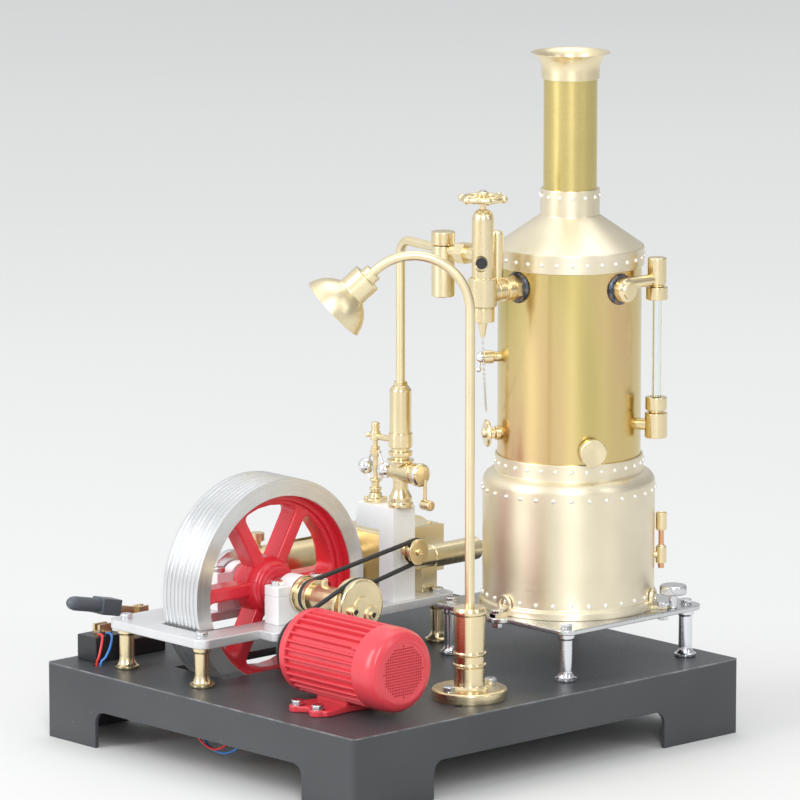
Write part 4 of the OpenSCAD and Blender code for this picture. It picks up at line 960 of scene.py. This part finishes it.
def make_flywheel():
    place = at(SHAFT + Y_AXIS * FLYWHEEL_Y, -Y_AXIS)
    half = 12.5
    grooves = 8
    pitch = (2 * half - 3) / grooves
    tread = []
    for k in range(grooves):
        z = -half + 1.5 + pitch * k
        tread += [(FLYWHEEL_R, z + 0.9), (FLYWHEEL_R - 0.9, z + 1.15), (FLYWHEEL_R - 0.9, z + 1.75),
                  (FLYWHEEL_R, z + 2)]
    outline = [(RIM_SEAT, -half), (FLYWHEEL_R, -half), *tread, (FLYWHEEL_R, half), (RIM_SEAT, half)]
    rim = Shape().turn(outline, place, 0.3, 256, closed=True)
    rim.done("flywheel_rim", TURNED_ALUMINIUM, "satin_aluminium", "crankshaft")
    spider = Shape()
    spokes = 6
    spoke_half = 3.4
    hub_r, window_r, step_r = 13.5, 39.4, 42.4
    outlines = [circle(step_r, 180)]
    for k in range(spokes):
        low, high = math.tau * k / spokes, math.tau * (k + 1) / spokes
        window = []
        for radius, shares in ((hub_r, (0, 0.5, 1)), (window_r, (1, 0.72, 0.5, 0.28, 0))):
            lean = math.asin(spoke_half / radius)
            for share in shares:
                a = low + lean + (high - low - 2 * lean) * share
                window.append((radius * math.cos(a), radius * math.sin(a)))
        outlines.append([tuple(point) for point in rounded(window, 3.8, closed=True, steps=6)])
    spider.plate(outlines, -5.6, 5.6, place, 1.2)
    spider.collar(step_r - 0.8, RIM_SEAT, -7.5, 7.5, place, 0.6, 192)
    spider.turn([(4.1, -11), (10.5, -11), (10.5, -8.6), (12.5, -7.6), (14.5, -4), (14.5, 4), (12.5, 7.6),
                 (10.5, 8.6), (10.5, 11), (4.1, 11)], place, 0.8, 96, closed=True)
    spider.done("flywheel_spider", RED, "red_paint", "crankshaft")
    lining = Shape().collar(RIM_SEAT - 0.25, RIM_SEAT + 0.02, -half + 0.5, half - 0.5, place, 0.05, 192)
    lining.done("flywheel_lining", RED, "red_paint", "crankshaft")


def make_drive_pulley():
    place = at(SHAFT, -Y_AXIS)
    pulley = Shape()
    bore = 4.02
    pulley.turn([(bore, 22.6), (13.4, 22.6), *groove(13.4, 11.3, 26), (13.4, 29.5), (12.6, 29.9),
                 (bore, 29.9)], place, 0.35, 96, closed=True)
    pulley.turn([(bore, -2.1), (8, -2.1), *reversed(groove(8, 5.65, -6)), (8, -10), (9, -10), (9, -11.8),
                 (bore, -11.8)], place, 0.3, 80, closed=True)
    pulley.collar(4.02, 6.4, -2.2, 22.7, place, 0.4, 80)
    pulley.cylinder(5.4, 29, 30.4, place, 0.3, 48)
    pulley.done("drive_pulley", BRASS, "satin_brass", "crankshaft")
    studs = Shape()
    socket_shade = Shape()
    for x, z, radius in ((5.4, -4.4, 4.6), (-6, -1.4, 3.0)):
        stud = at(SHAFT + Vector((x, 0, z)), -Y_AXIS)
        studs.turn([(0, 29.6), (radius, 29.6), (radius, 31), (radius - 0.6, 31.4), (0, 31.4)], stud, 0.25, 48)
        studs.collar(1.3, 2.1, 31.3, 32.3, stud, 0.15, 32)
        # A black hexagon low in each collar's bore: painted shade in the screw socket.
        socket_shade.hexagon(1.35, 31.3, 31.9, stud, 0.05)
    socket_shade.done("drive_pulley_socket_shade", BLACK_PLASTIC, "black_plastic", "crankshaft")
    studs.bar(SHAFT + Vector((0, -3, 5)), SHAFT + Vector((0, -3, 9)), 1.8, 24)
    studs.done("drive_pulley_studs", SATIN_BRASS, "satin_brass", "crankshaft")


def make_cylinder():
    cover = Shape()
    cover.block((36, 48, 85.6), (74, 79, 86.4), 0.35)
    for x in (39, 55, 71):
        for y in (51, 76):
            cover.turn([(0, 86), (1.5, 86), (1.5, 87.2), (0, 87.4)], at((x, y, 0)), 0.2, 6)
    cover.done("steam_chest_cover", SATIN_BRASS, "satin_brass")
    separator = Shape()
    place = at((31, 24.5, 77), X_AXIS)
    separator.turn([(0, 2), (2.2, 2), (5.2, 0), (5.7, 0.6), (5.7, 14.6), (5.4, 15), (5.4, 15.6), (5.7, 16),
                    (5.7, 46), (5.2, 46.6), (3, 48), (3, 66), (0, 66)], place, 0.3, 80)
    separator.block((38, 20.5, BED_TOP), (48, 28.5, 73), 0.4)
    separator.done("oil_separator", BRASS, "satin_brass")


def belt_path(first, first_r, second, second_r, y):
    """Points once round two wheels, in a plane of constant Y."""
    run = Vector((second.x - first.x, second.z - first.z))
    lie = math.atan2(run.y, run.x)
    lean = math.acos((first_r - second_r) / run.length)
    path = []
    for centre, radius, start, turn in ((first, first_r, lie + lean, math.tau - 2 * lean),
                                        (second, second_r, lie - lean, 2 * lean)):
        count = 40
        for k in range(count + 1):
            a = start + turn * k / count
            path.append(Vector((centre.x + radius * math.cos(a), y, centre.z + radius * math.sin(a))))
    return path


def make_belts():
    belts = Shape()
    belts.tube(belt_path(SHAFT, 7, GOVERNOR_PULLEY, 5.6, 6), 1.1, 16, loop=True)
    belts.tube(belt_path(SHAFT, 12.6, GENERATOR, 14, -26), 1.1, 16, loop=True)
    belts.done("belts", RUBBER, "black_rubber")


# Generator

def make_generator():
    place = at(GENERATOR, -Y_AXIS)
    root, tip, fins = 17.8, 19.9, 30
    ridge = ((-0.3, root), (-0.2, tip - 0.4), (-0.1, tip), (0.1, tip), (0.2, tip - 0.4), (0.3, root))
    outline = []
    for k in range(fins):
        for share, radius in ridge:
            outline.append((heading(math.tau * (k + share * 0.8) / fins) * radius)[:2])
    housing = Shape().plate([outline], 33, 82, place, 0.25)
    housing.turn([(2.1, 29.5), (18.4, 29.5), (20, 31.4), (20, 34.5), (18.6, 35), (2.1, 35)], place, 0.7, 128,
                 closed=True)
    housing.turn([(13.6, 95.2), (13.6, 96), (15.4, 96), (18.2, 94.6), (19.6, 92.2), (20, 89), (20, 81.6),
                  (19.4, 80.8), (13.6, 80.8)], place, 1.0, 128, closed=True)
    for angle in (35, 145, 325):
        screw = heading(math.radians(angle)) * 19
        housing.bar(place @ (screw + Z_AXIS * 82.6), place @ (screw + Z_AXIS * 78), 0.95, 20)
    housing.block((GENERATOR.x - 9, -66, TRAY_TOP + 1), (GENERATOR.x + 9, -45, TRAY_TOP + 8), 1.2)
    lobes = []
    for a in (math.tau * k / 60 for k in range(60)):
        x, y = 26.5 * math.cos(a), 13.0 * math.sin(a)
        squared = max(abs(x) / 26.5, abs(y) / 13.0)
        wave = 1 - 0.045 * (1 + math.cos(10 * a))
        lobes.append((GENERATOR.x + x / squared * wave, -56 + y / squared * wave))
    housing.plate([lobes], TRAY_TOP, TRAY_TOP + 3, soft=0.8)
    for x, y in GENERATOR_FEET:
        housing.cylinder(4.0, TRAY_TOP, TRAY_TOP + 3, at((x, y, 0)), 0.6, 40)
    housing.done("generator_housing", CAST_RED, "red_paint")
    grille_r, pitch, hole = 13.9, 1.35, 0.4
    holes = []
    reach = int(12.4 / pitch)
    for i in range(-reach, reach + 1):
        for k in range(-reach, reach + 1):
            x, y = i * pitch, k * pitch
            if x * x + y * y < 12.2 ** 2:
                holes.append([(x - hole, y - hole), (x + hole, y - hole), (x + hole, y + hole),
                              (x - hole, y + hole)])
    grille = Shape().plate([circle(grille_r, 96), *holes], 94.7, 95.7, place, 0.08)
    grille.cylinder(13.7, 93.4, 94.2, place, 0.1, 96)
    grille.done("generator_grille", CAST_RED, "red_paint")
    rotor = Shape()
    rotor.turn([(0, 23.3), (14.6, 23.3), (15, 23.8), *groove(15, 12.65, 26), (15, 28.2), (14.6, 28.7),
                (0, 28.7)], place, 0.25, 96)
    rotor.cylinder(3.2, 20.5, 24, place, 0.3, 40)
    rotor.bar((GENERATOR.x, -88, GENERATOR.z), (GENERATOR.x, -21.6, GENERATOR.z), 2)
    rotor.bar((GENERATOR.x, -86, GENERATOR.z), (GENERATOR.x, -44, GENERATOR.z), 12.5)
    rotor.done("generator_pulley", BLACK_PLASTIC, "black_plastic", "generator_rotor")


# Street lamp

def make_lamp():
    base = Shape()
    outline = [(0, 0), (17.8, 0), (17.8, 4.4), (17, 5.1), (9, 5.1), (7.6, 6.4), (7.3, 9), (7.3, 15.2),
               (7.9, 15.8), (7.9, 16.6), (7.3, 17), (7.3, 20.8), (7.9, 21.2), (7.9, 22), (7.3, 22.6),
               (7.3, 40), (7.8, 40.6), (7.8, 42), (7, 43.6), (0, 43.6)]
    base.turn(outline, at(LAMP + Z_AXIS * TRAY_TOP), 0.3, 96)
    base.done("lamp_base", BRASS, "satin_brass")
    ahead = heading(LAMP_HEADING)
    path = [LAMP + Z_AXIS * 60, LAMP + Z_AXIS * 140, LAMP + Z_AXIS * (LAMP_POST_TOP - 1)]
    steps = 36
    for k in range(steps + 1):
        a = LAMP_NECK_TURN * k / steps
        reach = ahead * LAMP_NECK_R * (1 - math.cos(a))
        path.append(LAMP + reach + Z_AXIS * (LAMP_POST_TOP + LAMP_NECK_R * math.sin(a)))
    post = Shape().tube(path, 2.3, 32)
    post.done("lamp_post", SATIN_BRASS, "satin_brass")
    head = at(path[-1], path[-1] - path[-2])
    shade = Shape()
    shade.turn([(0, 0), (4.4, 0), (4.4, 3.6), (7.4, 4), (7.4, 13.4), (8.4, 14.4), (10.4, 15.6), (12.4, 17.4),
                (14, 19.4), (15.4, 22), (16.7, 25.6), (16, 25.6), (14.8, 22.6), (13.3, 20), (11.7, 18),
                (9.6, 16.4), (7.6, 15.4), (0, 15.4)], head, 0.35, 96)
    screw = heading(math.radians(200))
    shade.bar(head @ (screw * 3.6 + Z_AXIS * 2), head @ (screw * 5.6 + Z_AXIS * 2), 0.9, 20)
    shade.done("lamp_shade", SATIN_BRASS, "satin_brass")
    bulb = Shape().cylinder(3, 15.4, 17.8, head, 0.3, 32)
    bulb.ball(head @ Vector((0, 0, 18.8)), 2.6, 32)
    bulb.done("lamp_bulb", BULB_GLASS, "bulb_glass")


# Knife switch and wiring

def make_switch():
    contacts = Shape().copy_of("switch_contacts", 0.15)
    for x, z in ((-100, 49.4), (SWITCH_PIVOT.x, 45.6)):
        for s in (-1, 1):
            screw = at((x, SWITCH_PIVOT.y + s * 4.2, z))
            contacts.turn([(0, 0), (1.4, 0), (1.4, 0.9), (0, 1)], screw, 0.2, 20)
    contacts.done("switch_contacts", MILLED_BRASS, "satin_brass")
    tilt = Matrix.Translation(SWITCH_PIVOT) @ Matrix.Rotation(SWITCH_TILT, 4, "Y")
    lever = Shape().block((-28, -4.5, -3), (-16, 4.5, 5), 0.6, tilt)
    lever.turn([(0, -27), (3.5, -27), (3.5, -42.4), (3.0, -44.6), (2.0, -46.2), (0, -47)],
               tilt @ Matrix.Translation((0, 0, 1)) @ facing(-X_AXIS) @ Matrix.Scale(-1, 4, Z_AXIS), 0.5, 48)
    lever.done("switch_lever", GREY_PLASTIC, "grey_plastic", "knife_lever")
    blade = Shape().block((-17, -1, -2), (4, 1, 2), 0.2, tilt)
    blade.cylinder(2.6, -1.05, 1.05, tilt @ facing(Y_AXIS), 0.2, 32)
    blade.done("switch_blade", MILLED_BRASS, "satin_brass", "knife_lever")


def make_wires():
    """Two wires from the switch down through the tray, their slack beneath it, and the yellow one."""
    under = TRAY_TOP - 3
    red = [(-106, 94, 49.4), (-106.4, 91, 49.9), (-107.6, 89, 48.6), (-110, 87.4, 44), (-111.7, 87, 40),
           (-112, 88, 37), (-112, 87.6, 30), (-110, 80, 26), (-107, 60, 28), (-105, 36, 30)]
    blue = [(-101, 94, 49.4), (-101.4, 91, 49.9), (-102, 88.6, 48.4), (-105, 86.6, 44), (-108.6, 85.6, 40),
            (-111, 86.2, 37.4), (-110.8, 86.4, 30), (-108, 80, 24), (-103.5, 60, 27), (-103, 36, 29)]
    slack = {"red": sagging(Vector((-105, 36, 30)), Vector((-105, -14, 33)), 24, 24),
             "blue": sagging(Vector((-103, 36, 29)), Vector((-103, -22, 33)), 25, 24),
             "yellow": sagging(Vector((-104, 20, 31)), Vector((-60, -85, under)), 26, 40)}
    routes = {"red": (red, RED_WIRE), "blue": (blue, BLUE_WIRE), "yellow": ([], YELLOW_WIRE)}
    for colour, (start, material) in routes.items():
        points = [Vector(point) for point in start][:-1] + slack[colour]
        wire = Shape().tube(smooth_path(points, 4), 0.62, 12)
        wire.done("wire_" + colour, material, "wire_sleeve", replaces=["wiring"] if colour == "red" else [])


# Camera, floor and light

def make_camera():
    data = bpy.data.cameras.new("camera")
    data.sensor_width = 36
    data.lens = 292.5
    data.clip_end = 30
    camera = linked("camera", data)
    right = Vector((0.73701, -0.67588, 0))
    up = Vector((0.12240, 0.13347, 0.98346))
    back = Vector((-0.66470, -0.72482, 0.18110))
    turn = Matrix((right, up, back)).transposed().to_4x4()
    camera.matrix_world = Matrix.Translation((-2.0609, -2.2522, 0.72575)) @ turn
    bpy.context.scene.camera = camera


def make_floor():
    half = 9
    mesh = bpy.data.meshes.new("floor")
    corners = [(-half, -half, 0), (half, -half, 0), (half, half, 0), (-half, half, 0)]
    mesh.from_pydata(corners, [], [(0, 1, 2, 3)])
    floor = linked("floor", mesh)
    material, tree, surface, place = blank_material("floor_paint")
    slow = noise(tree, place, 1.2, 2)
    tree.links.new(mixed(tree, between(tree, slow, 0, 1), (0.67, 0.67, 0.665), (0.69, 0.69, 0.685)),
                   surface.inputs["Base Color"])
    surface.inputs["Roughness"].default_value = 0.7
    mesh.materials.append(material)


def make_light():
    """Four soft boxes in a pale room: a front one, a stronger one at the camera's left, a weak one at its
    right and one above. A box is a name, its turn from the camera and its height in degrees, its distance,
    width and height in metres, and its power."""
    target = Vector((0, 0, 0.14))
    ahead = math.radians(227.5)
    boxes = (("front", 5, 32, 3.2, 0.6, 2.3, 42), ("left", -64, 28, 3.3, 1.0, 2.4, 50),
             ("right", 58, 28, 3.0, 0.5, 1.8, 9), ("top", 160, 72, 3.2, 2.4, 2.4, 26))
    for name, turn, height, reach, wide, tall, power in boxes:
        light = bpy.data.lights.new(name, "AREA")
        light.shape = "RECTANGLE"
        light.size = wide
        light.size_y = tall
        light.energy = power
        lamp = linked(name, light)
        level = heading(ahead + math.radians(turn))
        rise = math.radians(height)
        lamp.location = target + (level * math.cos(rise) + Z_AXIS * math.sin(rise)) * reach
        lamp.rotation_euler = (target - lamp.location).to_track_quat("-Z", "Y").to_euler()
    world = bpy.data.worlds.new("studio")
    bpy.context.scene.world = world
    world.use_nodes = True
    tree = world.node_tree
    way = node(tree, "TexCoord").outputs["Generated"]
    height = node(tree, "SeparateXYZ", {"Vector": way}).outputs["Z"]
    left = heading(ahead - math.radians(84))
    side = node(tree, "VectorMath", {0: way, 1: left}, operation="DOT_PRODUCT")
    share = ranged(tree, side.outputs["Value"], -0.9, 0.7, 0.48, 1.0)
    rise = ranged(tree, height, 0.0, 0.8, 0.75, 1.1)
    tree.links.new(multiplied(tree, share, rise), tree.nodes["Background"].inputs["Strength"])
    tree.nodes["Background"].inputs["Color"].default_value = (0.97, 0.985, 1.0, 1)


def main():
    for make in (make_camera, make_floor, make_light, make_copies, make_legs, make_bolts, make_firebox,
                 make_smokebox, make_rivets, make_shell, make_chimney, make_gauge, make_burner,
                 make_stop_valve, make_handwheel, make_side_valves, make_cocks, make_chain, make_pipe,
                 make_throttle, make_governor, make_crankshaft, make_flywheel, make_drive_pulley,
                 make_cylinder, make_belts, make_generator, make_lamp, make_switch, make_wires):
        make()
    bpy.context.scene.view_settings.view_transform = "Standard"


main()
